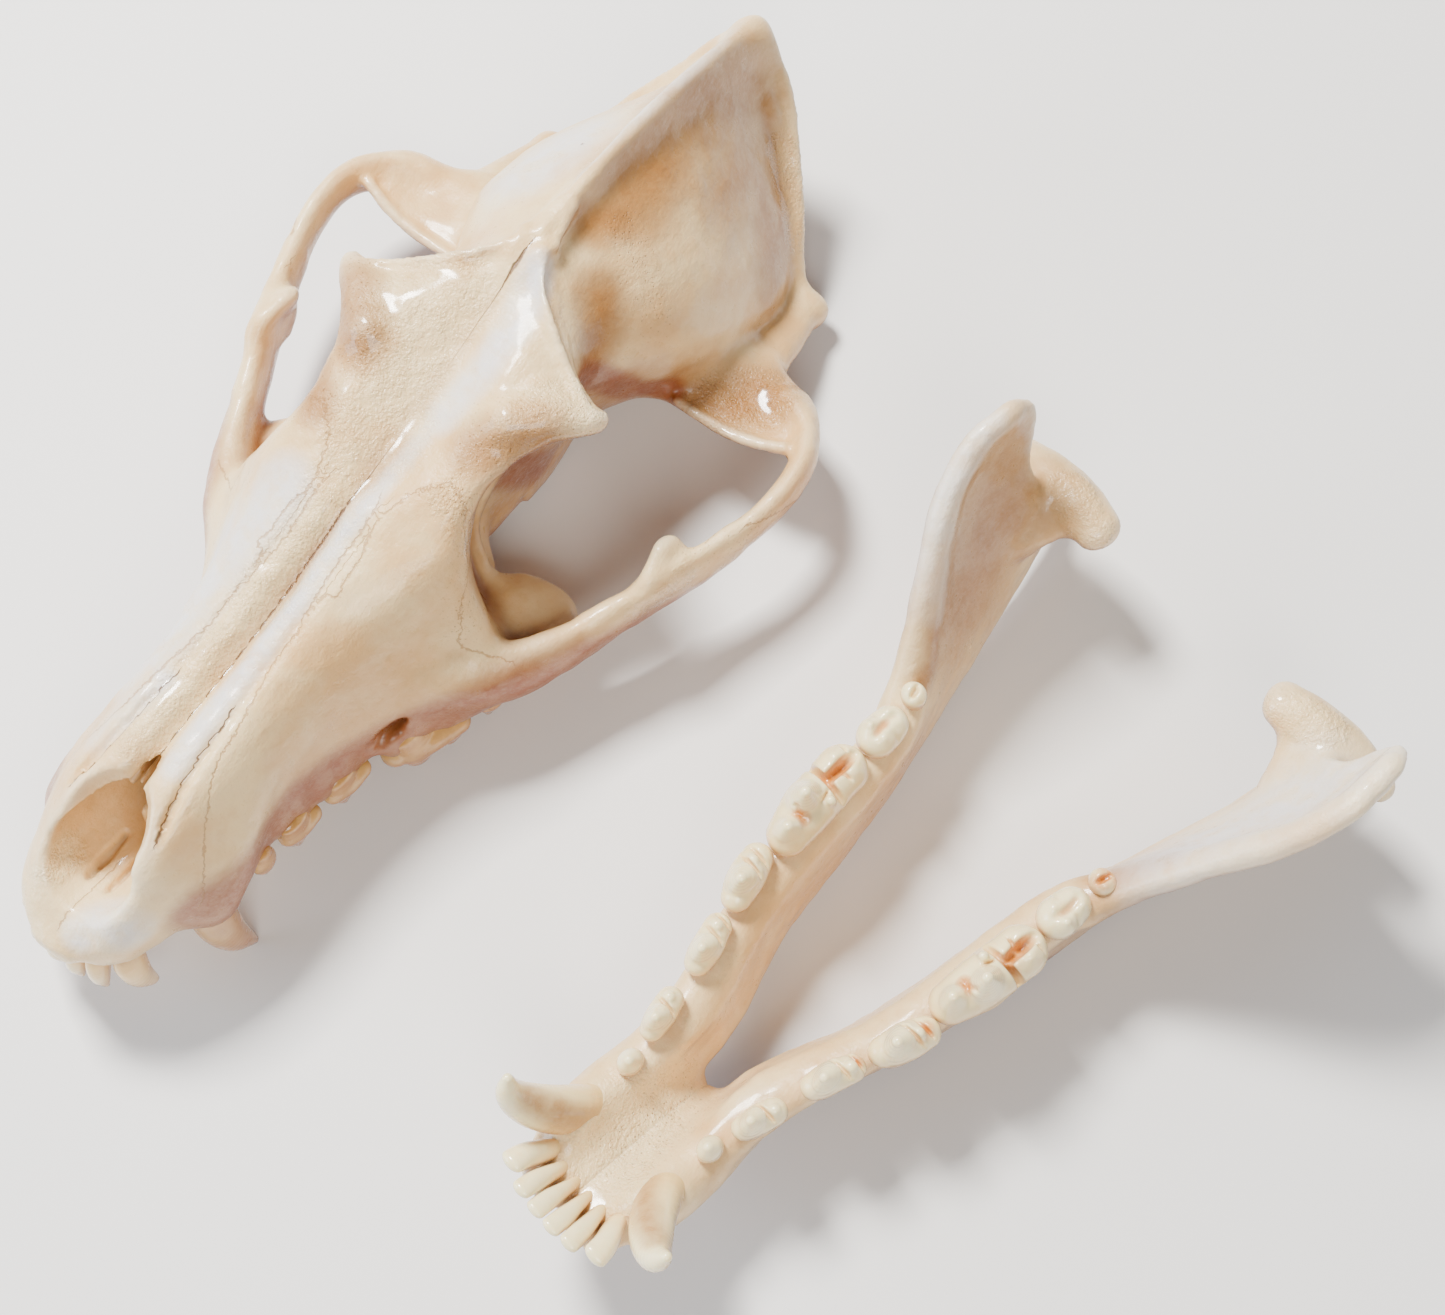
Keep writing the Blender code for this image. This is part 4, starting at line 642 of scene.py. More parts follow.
def near(points, strokes):
    """How near each point is to any of the soft strokes (radius, points along it): 1 on it, 0 outside."""
    nearest = np.zeros(len(points))
    for radius, rows in strokes:
        rows = np.asarray(rows, float)
        close = np.nonzero(((points > rows.min(0) - radius) & (points < rows.max(0) + radius)).all(1))[0]
        chosen = points[close]
        for a, b in zip(rows, rows[1:] if len(rows) > 1 else rows):
            way = b - a
            along = np.clip((chosen - a) @ way / max(way @ way, 1e-9), 0, 1)
            far = np.linalg.norm(chosen - a - along[:, None] * way, axis=1) / radius
            nearest[close] = np.maximum(nearest[close], np.clip(1 - far * far, 0, 1))
    return nearest


def add_piece(name, mesh, attributes, matrix, mat):
    """A finished piece: its mesh on the table, with values for the material, standing for its CAD node."""
    for key, values in attributes.items():
        layer = mesh.attributes.new(key, 'FLOAT', 'POINT')
        layer.data.foreach_set('value', np.asarray(values, np.float32))
    mesh.transform(matrix)
    mesh.shade_smooth()
    mesh.materials.append(mat)
    piece = bpy.data.objects.new(name + '_look', mesh)
    bpy.context.scene.collection.objects.link(piece)
    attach(piece, 'root')
    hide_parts(name)


def rows_of(layer, key):
    """A property of all vertices as rows of three."""
    flat = np.zeros(len(layer) * 3, np.float32)
    layer.foreach_get(key, flat)
    return flat.reshape(-1, 3).astype(float)


def move_vertices(mesh, places):
    """Put a mesh's vertices at new places."""
    mesh.vertices.foreach_set('co', places.astype(np.float32).ravel())
    mesh.update()


def bone_mesh(name, clay, triangles):
    """The skin of a bone, thinned out to a number of triangles."""
    thick = clay.mesh(name)
    holder = bpy.data.objects.new(name + ' clay', thick)
    bpy.context.scene.collection.objects.link(holder)
    thin = holder.modifiers.new('Decimate', 'DECIMATE')
    thin.ratio = min(1.0, triangles / (2 * len(thick.polygons)))
    graph = bpy.context.evaluated_depsgraph_get()
    finished = bpy.data.meshes.new_from_object(holder.evaluated_get(graph))
    bpy.data.objects.remove(holder)
    return finished


# Of seams, in millimetres: how far their value is worked out, its limit, and how wide they are near
SEAM_REACH = 5
SEAM_LIMIT = 4
SEAM_WIDTH = 1.6
# Height of the skull's long axis, which a seam's way out is taken from
AXIS_HEIGHT = 18.0


def seam_values(points, seams):
    """Distance to the nearest seam, signed by its side, and how near that is."""
    best = np.full(len(points), 1e9)
    signed = np.full(len(points), float(SEAM_LIMIT))
    for seam in seams:
        curve = spline(seam, (len(seam) - 1) * 4 + 1)
        low, high = curve.min(0) - SEAM_REACH, curve.max(0) + SEAM_REACH
        close = np.nonzero(((points > low) & (points < high)).all(1))[0]
        chosen = points[close]
        for a, b in zip(curve[:-1], curve[1:]):
            way = b - a
            length = np.linalg.norm(way)
            way = way / length
            along = np.clip((chosen - a) @ way, 0, length)
            off = chosen - a - along[:, None] * way
            far = np.linalg.norm(off, axis=1)
            # the side is taken in the plane of the seam and the way out of the skull there
            middle = (a + b) / 2
            outward = middle - np.array((middle[0], 0.0, AXIS_HEIGHT))
            side = np.sign(off @ np.cross(way, outward))
            nearer = far < best[close]
            index = close[nearer]
            best[index] = far[nearer]
            signed[index] = (far * np.where(side == 0, 1, side))[nearer]
    return np.clip(signed, -SEAM_LIMIT, SEAM_LIMIT), np.exp(-(best / SEAM_WIDTH) ** 2)


def both_sides(rows):
    """Seams, or strokes, with their mirror images."""
    def mirrored(points):
        return [(x, -y, z) for x, y, z in points]
    return rows + [(row[0], mirrored(row[1])) if isinstance(row, tuple) else mirrored(row) for row in rows]


class Graph:
    """Short names for building a shader, and its base colour as coats are laid on it."""

    def __init__(self, name):
        self.mat = bpy.data.materials.new(name)
        self.mat.use_nodes = True
        self.tree = self.mat.node_tree
        self.shader = self.tree.nodes['Principled BSDF']
        self.base = None
        coords = self.tree.nodes.new('ShaderNodeTexCoord')
        self.place = self.vector('SCALE', coords.outputs['Object'], 1 / MM)

    def set(self, socket, value):
        """A value or another node's output into a socket."""
        if isinstance(value, bpy.types.NodeSocket):
            self.tree.links.new(value, socket)
        else:
            socket.default_value = value

    def constants(self, values):
        """The shader's sockets that are the same all over."""
        for key, value in values.items():
            self.shader.inputs[key].default_value = value

    def maths(self, operation, *values):
        n = self.tree.nodes.new('ShaderNodeMath')
        n.operation = operation
        for socket, value in zip(n.inputs, values):
            self.set(socket, value)
        return n.outputs[0]

    def vector(self, operation, a, b):
        n = self.tree.nodes.new('ShaderNodeVectorMath')
        n.operation = operation
        self.set(n.inputs[0], a)
        self.set(n.inputs['Scale' if operation == 'SCALE' else 1], b)
        return n.outputs[0]

    def times(self, a, b):
        return self.maths('MULTIPLY', a, b)

    def plus(self, a, b):
        return self.maths('ADD', a, b)

    def minus(self, a, b):
        return self.maths('SUBTRACT', a, b)

    def noise(self, size, detail, rough, stretch=None):
        """Noise with bumps of about a size in millimetres, from 0 to 1."""
        n = self.tree.nodes.new('ShaderNodeTexNoise')
        self.set(n.inputs['Vector'],
                 self.vector('MULTIPLY', self.place, stretch) if stretch else self.place)
        n.inputs['Scale'].default_value = 1.0 / size
        n.inputs['Detail'].default_value = detail
        n.inputs['Roughness'].default_value = rough
        return n.outputs['Fac']

    def cells(self, size):
        """Distance to the nearest of points scattered a size in millimetres apart."""
        n = self.tree.nodes.new('ShaderNodeTexVoronoi')
        self.set(n.inputs['Vector'], self.place)
        n.inputs['Scale'].default_value = 1.0 / size
        return n.outputs['Distance']

    def fit(self, value, low, high, to_low=0.0, to_high=1.0):
        """A value between two limits, smoothly brought to between two others."""
        n = self.tree.nodes.new('ShaderNodeMapRange')
        n.interpolation_type = 'SMOOTHSTEP'
        for socket, v in zip(n.inputs, (value, low, high, to_low, to_high)):
            self.set(socket, v)
        return n.outputs[0]

    def coat(self, amount, text, strength=1.0):
        """A colour laid over the base colour."""
        n = self.tree.nodes.new('ShaderNodeMix')
        n.data_type = 'RGBA'
        if strength != 1.0:
            amount = self.times(amount, strength)
        # of the node's sockets, the first is its amount, and the seventh and eighth are its colours
        for index, value in ((0, amount), (6, self.base), (7, colour(text))):
            self.set(n.inputs[index], value)
        self.base = n.outputs[2]

    def value(self, name):
        """A value kept on the mesh."""
        n = self.tree.nodes.new('ShaderNodeAttribute')
        n.attribute_name = name
        return n.outputs['Fac']

    def normal_z(self):
        """How far the surface faces up."""
        geometry = self.tree.nodes.new('ShaderNodeNewGeometry')
        split = self.tree.nodes.new('ShaderNodeSeparateXYZ')
        self.set(split.inputs[0], geometry.outputs['Normal'])
        return split.outputs[2]

    def relief(self, height, distance, strength):
        """Bump from a height, whose unit stands for a distance in millimetres."""
        n = self.tree.nodes.new('ShaderNodeBump')
        self.set(n.inputs['Height'], height)
        n.inputs['Distance'].default_value = distance * MM
        n.inputs['Strength'].default_value = strength
        self.set(self.shader.inputs['Normal'], n.outputs[0])


def colour(text):
    """A shader colour from a hexadecimal sRGB one."""
    parts = [int(text[i:i + 2], 16) / 255 for i in (0, 2, 4)]
    return tuple((p / 12.92 if p <= 0.04045 else ((p + 0.055) / 1.055) ** 2.4) for p in parts) + (1.0,)


def bone_material(name):
    """Dry bone: creamy, glossy in places, with painted shade in its hollows and beneath, patches of painted
    cool light, and with seams, pits and fine grain.
    """
    g = Graph(name)
    large = g.noise(24, 4, 0.6)
    middle = g.noise(5, 5, 0.6)
    fine = g.noise(1.1, 6, 0.65)
    grain = g.noise(0.9, 4, 0.6, stretch=(0.9, 0.16, 0.5))
    speck = g.noise(0.4, 2, 0.5)
    porous = g.value('porous')
    # where the painted shade is left out, inside the nose
    shade_free = g.value('shade_free')
    # cream, with broad tan clouds
    g.base = colour('f2d5a0')
    g.coat(g.fit(large, 0.38, 0.66), 'e2b679')
    g.coat(g.fit(middle, 0.5, 0.78, 0, 0.35), 'cf9f5e')
    cloud = g.plus(middle, g.times(fine, 0.5))
    g.coat(g.times(g.value('tan'), g.fit(cloud, 0.5, 1.0, 0.85, 1.0)), 'a26c30')
    # pale bluish patches: painted cool reflected light and highlights, partly paler bone
    g.coat(g.times(g.value('pale_and_cool_light'), g.fit(middle, 0.3, 0.6, 0.45, 0.95)), 'e4e5ea', 0.85)
    # painted warm shade on the undersides, along the tooth row and in recesses
    warm_shade = g.times(g.fit(g.value('warm_shade'), 0.0, 0.9), g.fit(cloud, 0.4, 1.0, 0.75, 1.0))
    g.coat(warm_shade, '8c3f0c', 0.95)
    # painted shade: brown in the hollows and deep recesses, warm on what faces down; paler on sharp edges
    hollow = g.value('hollow')
    g.coat(g.times(g.fit(hollow, 0.04, 0.55), g.fit(shade_free, 0.0, 0.6, 1.0, 0.15)), '7d3f18', 0.9)
    g.coat(g.fit(hollow, -0.2, -0.8), 'f8e6c2', 0.55)
    # painted shade in the deep recesses
    g.coat(g.times(g.fit(g.value('deep'), 0.1, 0.6), g.fit(shade_free, 0.0, 0.6, 1.0, 0.0)), '9a5a2c', 0.6)
    # painted warm shade on what faces down
    g.coat(g.times(g.fit(g.normal_z(), 0.3, -0.3), g.fit(shade_free, 0.0, 0.6, 1.0, 0.2)), '84441c', 0.8)
    # seams and furrows waver by a noise of their own
    waver = g.times(g.minus(g.noise(1.0, 3, 0.6), 0.5), 1.7)
    ragged = g.plus(1.0, g.times(g.value('serrated'), 1.3))
    line = g.maths('ABSOLUTE', g.plus(g.value('seam'), g.times(waver, ragged)))
    seam = g.times(g.fit(line, 0.3, 0.06), g.fit(g.value('seam_near'), 0.35, 0.7))
    g.coat(seam, 'a87842', 0.6)
    line = g.maths('ABSOLUTE', g.plus(g.value('furrow'), g.times(waver, 0.3)))
    furrow = g.times(g.fit(line, 0.6, 0.1), g.fit(g.value('furrow_near'), 0.2, 0.6))
    g.coat(furrow, '5f3413', 0.85)
    # pits where it is porous, and a few elsewhere
    pits = g.times(g.fit(g.cells(0.8), 0.24, 0.05), g.plus(porous, g.fit(large, 0.58, 0.72, 0.0, 0.3)))
    pits.node.use_clamp = True
    g.coat(pits, '8c6239', 0.65)
    g.coat(g.fit(speck, 0.6, 0.8, 0, 0.3), 'b8935f')
    g.set(g.shader.inputs['Base Color'], g.base)
    # glossy in patches
    dull = g.fit(g.plus(fine, g.times(middle, 0.8)), 0.65, 1.15, 0.26, 0.52)
    sparkle = g.times(g.fit(g.value('sparkle'), 0.0, 0.6), g.fit(middle, 0.35, 0.6, 0.3, 1.0))
    g.set(g.shader.inputs['Roughness'], g.minus(dull, g.times(sparkle, 0.16)))
    g.set(g.shader.inputs['Coat Weight'], g.plus(0.35, g.times(sparkle, 0.6)))
    g.constants({'Coat Roughness': 0.12, 'Subsurface Weight': 0.14,
                 'Subsurface Radius': (1.0, 0.6, 0.35), 'Subsurface Scale': 0.0018})
    # relief: a soft unevenness, long grain, crumbly where it is porous, sunk pits and seams
    crumbs = g.times(g.noise(0.7, 3, 0.7), g.plus(g.times(porous, 0.9), 0.1))
    beads = g.times(g.noise(0.55, 2, 0.5), sparkle)
    height = g.times(middle, 0.8)
    for part, amount in ((fine, 0.22), (grain, 0.22), (crumbs, 0.5), (beads, 0.8),
                         (pits, -0.4), (seam, -0.22), (furrow, -0.9)):
        height = g.plus(height, g.times(part, amount))
    g.relief(height, 0.7, 0.75)
    return g.mat


def tooth_material(name):
    """Enamel: ivory, paler at the tips, yellow-brown towards the gum line and in the worn basins, with
    painted shade in its crevices and on what faces down.
    """
    g = Graph(name)
    middle = g.noise(2.5, 4, 0.6)
    fine = g.noise(0.7, 4, 0.6)
    crown = g.value('crown')
    g.base = colour('f6cc7e')
    g.coat(g.fit(crown, 0.25, 0.85), 'ffeebc')
    g.coat(g.fit(middle, 0.5, 0.8, 0, 0.5), 'f0c474')
    g.coat(g.times(g.fit(crown, 0.4, 0.12), g.fit(middle, 0.25, 0.6, 0.4, 1.0)), 'b0762f', 0.75)
    # painted shade in the crevices between the cusps
    g.coat(g.fit(g.value('hollow'), 0.03, 0.6), 'c99a52', 0.6)
    # brown smudges on the lower canines, and painted shade on the upper teeth
    g.coat(g.times(g.value('smudge_and_shade'), g.fit(middle, 0.2, 0.8, 0.6, 0.9)), 'a8733a')
    g.coat(g.times(g.value('stain'), g.fit(g.plus(middle, fine), 0.6, 1.1, 0.6, 1.0)), 'c8761c')
    # painted warm shade on what faces down
    g.coat(g.fit(g.normal_z(), 0.45, -0.2), 'a35a30', 0.7)
    g.set(g.shader.inputs['Base Color'], g.base)
    g.set(g.shader.inputs['Roughness'], g.fit(middle, 0.3, 0.8, 0.16, 0.32))
    g.constants({'Coat Weight': 0.6, 'Coat Roughness': 0.1, 'Subsurface Weight': 0.25,
                 'Subsurface Radius': (1.0, 0.7, 0.45), 'Subsurface Scale': 0.0015})
    g.relief(g.plus(middle, g.times(fine, 0.4)), 0.12, 0.5)
    return g.mat


def roughen(points, normals, clay):
    """Small unevenness, more on sharp edges, as points moved along their normals."""
    edge = np.clip(-clay.hollowness(points, 1.6) - 0.25, 0, 0.8)
    wave = lattice_noise(points, 7.0, 1) * 0.22 + lattice_noise(points, 2.6, 2) * 0.12
    ragged = lattice_noise(points, 1.7, 3) * 0.5 + lattice_noise(points, 3.9, 4) * 0.4
    return points + normals * (wave + ragged * edge * 0.8)[:, None]


# Radii of the hollows that get painted shade, in millimetres
HOLLOW_SHADE_RADII = (1.8, 5.0)
DEEP_SHADE_RADIUS = 11.0
TOOTH_HOLLOW_SHADE_RADIUS = 0.8


def build_bone(name, clay, triangles, matrix, seams, furrows, strokes):
    """A bone at full detail, with values on its mesh for seams, furrows, strokes of colour and painted light,
    and the hollows that get painted shade.
    """
    mesh = bone_mesh(name, clay, triangles)
    points = rows_of(mesh.vertices, 'co')
    normals = rows_of(mesh.vertex_normals, 'vector')
    values = {key: near(points, rows) for key, rows in strokes.items()}
    for key, lines in (('seam', seams), ('furrow', furrows)):
        values[key], values[key + '_near'] = seam_values(points, lines)
    # how hollow the surface lies, for the painted shade in hollows and recesses
    values['hollow'] = sum(0.5 * clay.hollowness(points, radius) for radius in HOLLOW_SHADE_RADII)
    values['deep'] = clay.hollowness(points, DEEP_SHADE_RADIUS)
    moved = roughen(points, normals, clay)
    # what touches the table keeps its place
    up = np.array(matrix.to_3x3())[2]
    world_z = moved @ up + matrix.translation.z
    below = world_z < 0
    moved[below] -= (world_z[below] / MM)[:, None] * up / MM
    move_vertices(mesh, moved)
    add_piece(name, mesh, values, matrix, bone_material(name + ' bone'))


# The top of the midline of the cranium, as (x, z), with how deep its furrow is there
MIDLINE = [(25, 27.4, 1.9), (33, 29, 1.9), (41.9, 30.2, 1.8), (53.3, 32.2, 1.7), (60.6, 34.1, 1.6),
           (70.1, 37.0, 1.5), (81.5, 41.6, 1.2), (92.9, 45.5, 0.9), (103.5, 49.2, 0.6), (114.4, 53.2, 0.5),
           (123, 56.3, 0.4), (131, 58.2, 0.2)]


def detail_cranium(clay):
    """Furrows, ledges and thin edges that are finer than the CAD model's."""
    # the deep furrow between the nasal bones, shallower between the frontals
    clay.strand([(x, 0, z + 3.6 - depth, 3.6, 1.9) for x, z, depth in MIDLINE], 1.6, cut=True)
    clay.strand([(x, 0, z + 0.35 - depth, 0.6, 0.3) for x, z, depth in MIDLINE], 0.4, cut=True)
    # the shallow valley between the brows
    clay.strand([(86, 0, 51.5, 9), (96, 0, 54.9, 10), (106, 0, 58.9, 10), (116, 0, 62.8, 10)], 5, cut=True)
    # the groove beside the nasal bone, and the slit in its front
    groove = [(21.4, 8.6, 25.6), (26.9, 7.6, 28.2), (35.5, 6.6, 30.1), (47.8, 6.2, 32.2), (61.3, 5.9, 35.4),
              (71.3, 5.5, 38.7), (82, 6.2, 43)]
    depth = (1.1, 1.0, 0.9, 0.7, 0.5, 0.35, 0.1)
    clay.strand([(x, y, z + 1.4 - d, 1.4, 0.8) for (x, y, z), d in zip(groove, depth)], 0.8, cut=True)
    clay.strand([(19, 9.4, 24.2, 0.5), (27, 7.7, 27.4, 0.5), (38, 6.5, 29.6, 0.4)], 0.2, cut=True)
    # the raised border of the brow, a ledge above the temporal hollow
    ledge = [(113.8, 25.6, 49.4), (114.9, 23.9, 49.9), (117.1, 19.4, 51.0), (119.7, 14.7, 53.0),
             (122.1, 11.2, 54.7), (125.3, 7.2, 56.2), (128.9, 5, 57), (135.3, 2.5, 57.5),
             (141.2, 1.4, 58.4)]
    clay.strand([(x, y, z, 0.75) for x, y, z in ledge], 1.2)
    clay.strand([(x + 2.6, y + 0.6, z + 0.2, 2.0) for x, y, z in ledge[1:7]], 1.0, cut=True)
    # the crest between the eye socket and the hollow for the jaw muscle
    clay.strand([(113, 17.9, 43, 1.6, 1.0), (109, 13.9, 36, 1.7, 1.1), (104.5, 10.7, 26, 1.8, 1.2),
                 (99, 10.6, 16, 2.2, 1.8), (95, 15, 9, 3, 3)], 2.5)
    # a fuller cheek bone below its frontal process, and the rounded end of the tooth row behind the eye
    clay.strand([(97, 39.4, 14.6, 4.2, 2.2), (104, 42.6, 15.8, 4.8, 1.9), (109.4, 44.8, 18, 5.4, 1.8),
                 (116, 47.4, 18.4, 4.4, 1.6), (124, 50.2, 18.6, 4.4, 1.7)], 2)
    clay.ellipsoid((94, 24, 6.6), (8, 7, 4.2), 4)
    clay.ellipsoid((96, 29.5, 7), (6.5, 6, 3.6), 4)
    clay.strand([(109, 43.4, 16, 6, 1.8), (111.5, 43.6, 20, 5.5, 1.5), (113.6, 42.9, 23, 3.4, 1.3)], 2,
                tall=(1, 0, 0))
    # the hollowed top of the shelf over the jaw joint, with a thin front edge
    clay.strand([(149.5, 35.5, 25.4, 4.4), (148.4, 40, 25, 4.6), (147, 43.5, 25.8, 4)], 3, cut=True)
    clay.strand([(141.4, 26, 20, 0.9), (141.6, 34, 19.6, 0.9), (142, 41, 20.6, 1), (143.6, 47.6, 22.6, 1.1)],
                2)
    # the bulge over the root of the last premolar, and those of the others
    roots = ((66, 23.5, 3.5), (73.5, 26.2, 4), (62, 22.6, 2.5), (52.5, 18.6, 3), (48, 17.8, 3),
             (43, 16.9, 3), (39, 16.5, 3))
    for x, y, z in roots:
        clay.ellipsoid((x, y - 0.9, z), (1.7, 1.5, 4.2), 2.2)
    # slits in the floor of the nose
    clay.strand([(11.5, 2.2, 8.5, 1.6, 0.7), (16, 2.3, 7.6, 1.6, 0.8), (20.5, 2.4, 7.4, 1.6, 0.6)], 0.5,
                cut=True)
    # scrolls of thin bone deep in the nose
    for y, z in ((2.2, 19), (5.2, 15), (2.2, 11.5), (5.6, 20.5)):
        clay.strand([(27, y, z, 1.0, 0.5), (33, y, z + 0.6, 1.9, 0.5), (50, y, z + 1.5, 2.4, 0.6)], 1.0)
    clay.strand([(24, 0, 12, 3.5, 0.5), (34, 0, 13, 6.5, 0.6), (52, 0, 17, 8, 0.6)], 0.8)


# Sutures of the cranium, as points along each
CRANIUM_SEAMS = both_sides([
    [(18.4, 16.6, 10.8), (24.7, 13.5, 21), (30.2, 10.8, 26.6), (34.3, 9.4, 28.9), (40.1, 8.6, 30.1),
     (45.2, 7.7, 31.2), (50.7, 6.8, 32.7), (56, 6.6, 33.9)],
    [(56, 6.6, 33.9), (65.4, 6.6, 36.3), (66.8, 8.7, 36.6), (69.3, 7.9, 37.6), (74.3, 7.9, 39.3),
     (78.9, 6.6, 41.1), (84, 7.7, 43.1), (87.7, 9.7, 44.5), (89.5, 11.7, 45), (91.4, 13.5, 45.1),
     (90.1, 17.2, 42.9), (88.2, 18.3, 39.6), (85.7, 20.8, 33.1), (80.9, 23.1, 29.7), (79.2, 24.4, 25.9),
     (77.3, 25.3, 22), (79.5, 28.5, 19.2), (81.8, 32.5, 17.3)],
    [(61.3, 5.9, 35.1), (71.3, 5, 38.2), (77.7, 5.3, 40.6), (84.5, 4.5, 43.3), (89.3, 2, 44.4),
     (91.5, 0.4, 45)],
    [(117.8, 44.9, 23), (122, 48.9, 22.6), (126.2, 51.6, 23.4), (131.4, 53.9, 22.4), (138, 55, 20.5),
     (144, 54, 18.6)]]) + [[(2.1, 0, 8.4), (5.5, 0, 10.2), (10.5, 0, 9), (16.1, 0, 7.8)]]
CRANIUM_FURROWS = [[(19, 0, 25.6)] + [(x, 0, z - 1) for x, z, depth in MIDLINE]] + both_sides([
    [(19.5, 8.9, 24.6), (21.4, 8.6, 25.6), (26.9, 7.6, 28.2), (35.5, 6.6, 30.1), (42, 6.3, 31.2)]])
# Soft strokes on the bones, as (radius, points): red-brown painted shade, glossy, free of painted shade
# inside the nose, ragged sutures, pale with painted cool light, tan and porous
CRANIUM_STROKES = {
    # painted warm shade along the tooth row, under the arch and in recesses
    'warm_shade': both_sides([
        (9, [(18, 18, 8), (25, 19, 7), (34, 17.5, 7), (43, 17.5, 8), (55, 20, 6), (64, 24, 6),
             (71, 28.5, 8), (80, 32, 11), (90, 38, 10), (104, 44, 9)]),
        (5, [(94, 40, 11), (110, 46, 11), (124, 50, 13)]),
        (4.5, [(122, 15, 43), (130, 17.5, 33), (136, 19.5, 24), (142, 23, 21)]),
        (7, [(112, 10, 20), (120, 10, 10)])]),
    'sparkle': [(11, [(92, 3, 45), (100, 6, 49), (110, 9, 52.5), (116, 8, 54)]),
                (7, [(60, 2, 34), (78, 2.5, 41), (92, 2.6, 45)]),
                (8, [(104, -20, 50), (110, -21, 51), (113, -25, 50)]),
                (8, [(144, -33, 20), (152, -38, 21)]), (5, [(30, 3, 28), (50, 3, 32)]),
                (4, [(8, 7, 10), (12, 7, 10.5)]), (5, [(192, -13, 32), (185, -22, 22)]),
                (4, [(89, -14, 45), (88, -19, 38)]), (4, [(112, -47, 20), (104, -44, 17)])],
    # where the painted shade is left out, inside the nose
    'shade_free': [(20, [(6, 0, 10), (16, 0, 12), (34, 0, 16)])],
    'serrated': both_sides([(5, [(87.7, 9.7, 44.5), (91, 13.7, 45), (89.7, 16.9, 43.1)]),
                            (3, [(84, 22, 31), (80, 24.5, 26)])]),
    # painted cool reflected light and highlights, partly paler bone
    'pale_and_cool_light': [(4.5, [(128, -4, 57), (118, -6, 54), (108, -5.5, 51), (99.7, -4, 48)]),
             (3.2, [(99.7, -3, 47.7), (90.5, -2.8, 44.9), (82.2, -2.6, 42.1), (74.2, -2.4, 38.6),
                    (66, -2.8, 36.3), (56.4, -3, 33.7), (45.9, -3.2, 31), (37.1, -3.4, 29.4),
                    (29.9, -4, 28)]), (6, [(5.9, -5.7, 11.9), (7.1, -10.2, 11.7)]), (4, [(2.3, -3.6, 8.8)]),
             (7, [(77, 11, 39), (64, 12, 34), (52, 12, 30), (40, 12, 26)]),
             (10, [(66, 18, 28), (50, 15, 24)]), (12, [(150, 14, 47), (160, 13, 48)]),
             (4, [(27, 9, 24), (40, 7.5, 29)]), (3.5, [(150, 3, 58), (170, 2, 60), (190, 1, 58)])],
    'tan': [(6, [(142, -4, 55), (148, -7, 53)]), (16, [(176, -6, 55), (188, -8, 48)]),
            (6, [(194, -9, 41), (190, -14, 35), (185, -18.5, 29), (180, -22.5, 24)]),
            (12, [(154, -6, 55), (165, -7, 55)]), (14, [(172, -18, 46), (182, -16, 42)]),
            (12, [(186, -15, 42), (182, -20, 35), (176, -25, 27)]), (9, [(180, -24, 30), (172, -30, 24)]),
            (8, [(134, -12, 48), (128, -16, 43)]), (7, [(99, -14, 46), (107, -20, 48)]),
            (8, [(103, 15, 49), (109, 22, 49)]), (10, [(140, -28, 21), (152, -38, 21)]),
            (5, [(90, 14, 44), (97, 19, 44)])],
    'porous': [(10, [(101, -15, 46), (110, -23, 49)]), (11, [(104, 16, 49), (110, 24, 49)]),
               (7, [(92, 15, 44), (88, 19, 38)]), (6, [(92, -16, 44), (88, -20, 38), (80, -24, 26)]),
               (5, [(147, -8, 52), (143, -15, 47), (141, -20, 40)]), (8, [(148, -34, 21), (153, -40, 21)]),
               (5, [(116, -46, 21), (132, -54, 20)])],
}
JAW_STROKES = {
    # painted warm shade along the lower edge of the jaw
    'warm_shade': both_sides([(6, [(30, 14, 3), (60, 21, 2), (90, 24, 5)])]),
    'sparkle': [(10, [(20, 3, 20), (4, 4, 21)]), (8, [(10, -3, 22), (4, -4, 21)]),
                (5, [(148, 30, 32), (145, 22, 30)]), (5, [(148, -30, 32), (145, -22, 30)])],
    'shade_free': [],
    'serrated': [],
    # painted cool reflected light, partly paler bone
    'pale_and_cool_light': [(18, [(118, -30, 30), (140, -40, 44)]),
             (4.5, [(112, 31.5, 33), (118, 37, 43), (124, 41, 51), (136, 43, 57)])],
    'tan': [(4, [(112, 27, 34), (109, 24.5, 28), (105, 23, 28)]), (20, [(122, 29, 28), (140, 38, 42)]),
            (7, [(103, -24, 24), (112, -28, 30)])],
    'porous': [(7, [(14, 2, 21), (30, 2.5, 15)]), (7, [(14, -2, 21), (30, -2.5, 15)]),
               (5, [(106, 24, 26), (108, 24, 20)])],
}
# Soft strokes on the teeth, as (radius, points): worn brown basins, and along the gums smudges on the lower
# canines and painted shade on the upper teeth
STAINS = [(3.0, [(80.4, 21.2, 28.6), (83.5, 21.2, 28.4)]), (3.2, [(80.4, -21.4, 28.6), (83.8, -21, 28.2)]),
          (2.0, [(93, -21.6, 27.6), (95.5, -21.6, 27.4)]), (1.8, [(92.5, 21.6, 28), (94, 21.6, 28)]),
          (2.2, [(101.5, -22.4, 28.5), (103, -22.4, 28.5)]), (1.6, [(72.4, -18.6, 31), (72.4, -20, 31)]),
          (1.6, [(72.4, 18.6, 31), (72.4, 20, 31)]), (1.8, [(62, -20, 28), (63, -20, 28)]),
          (1.6, [(50, -16, 27), (51, -16, 27)])]
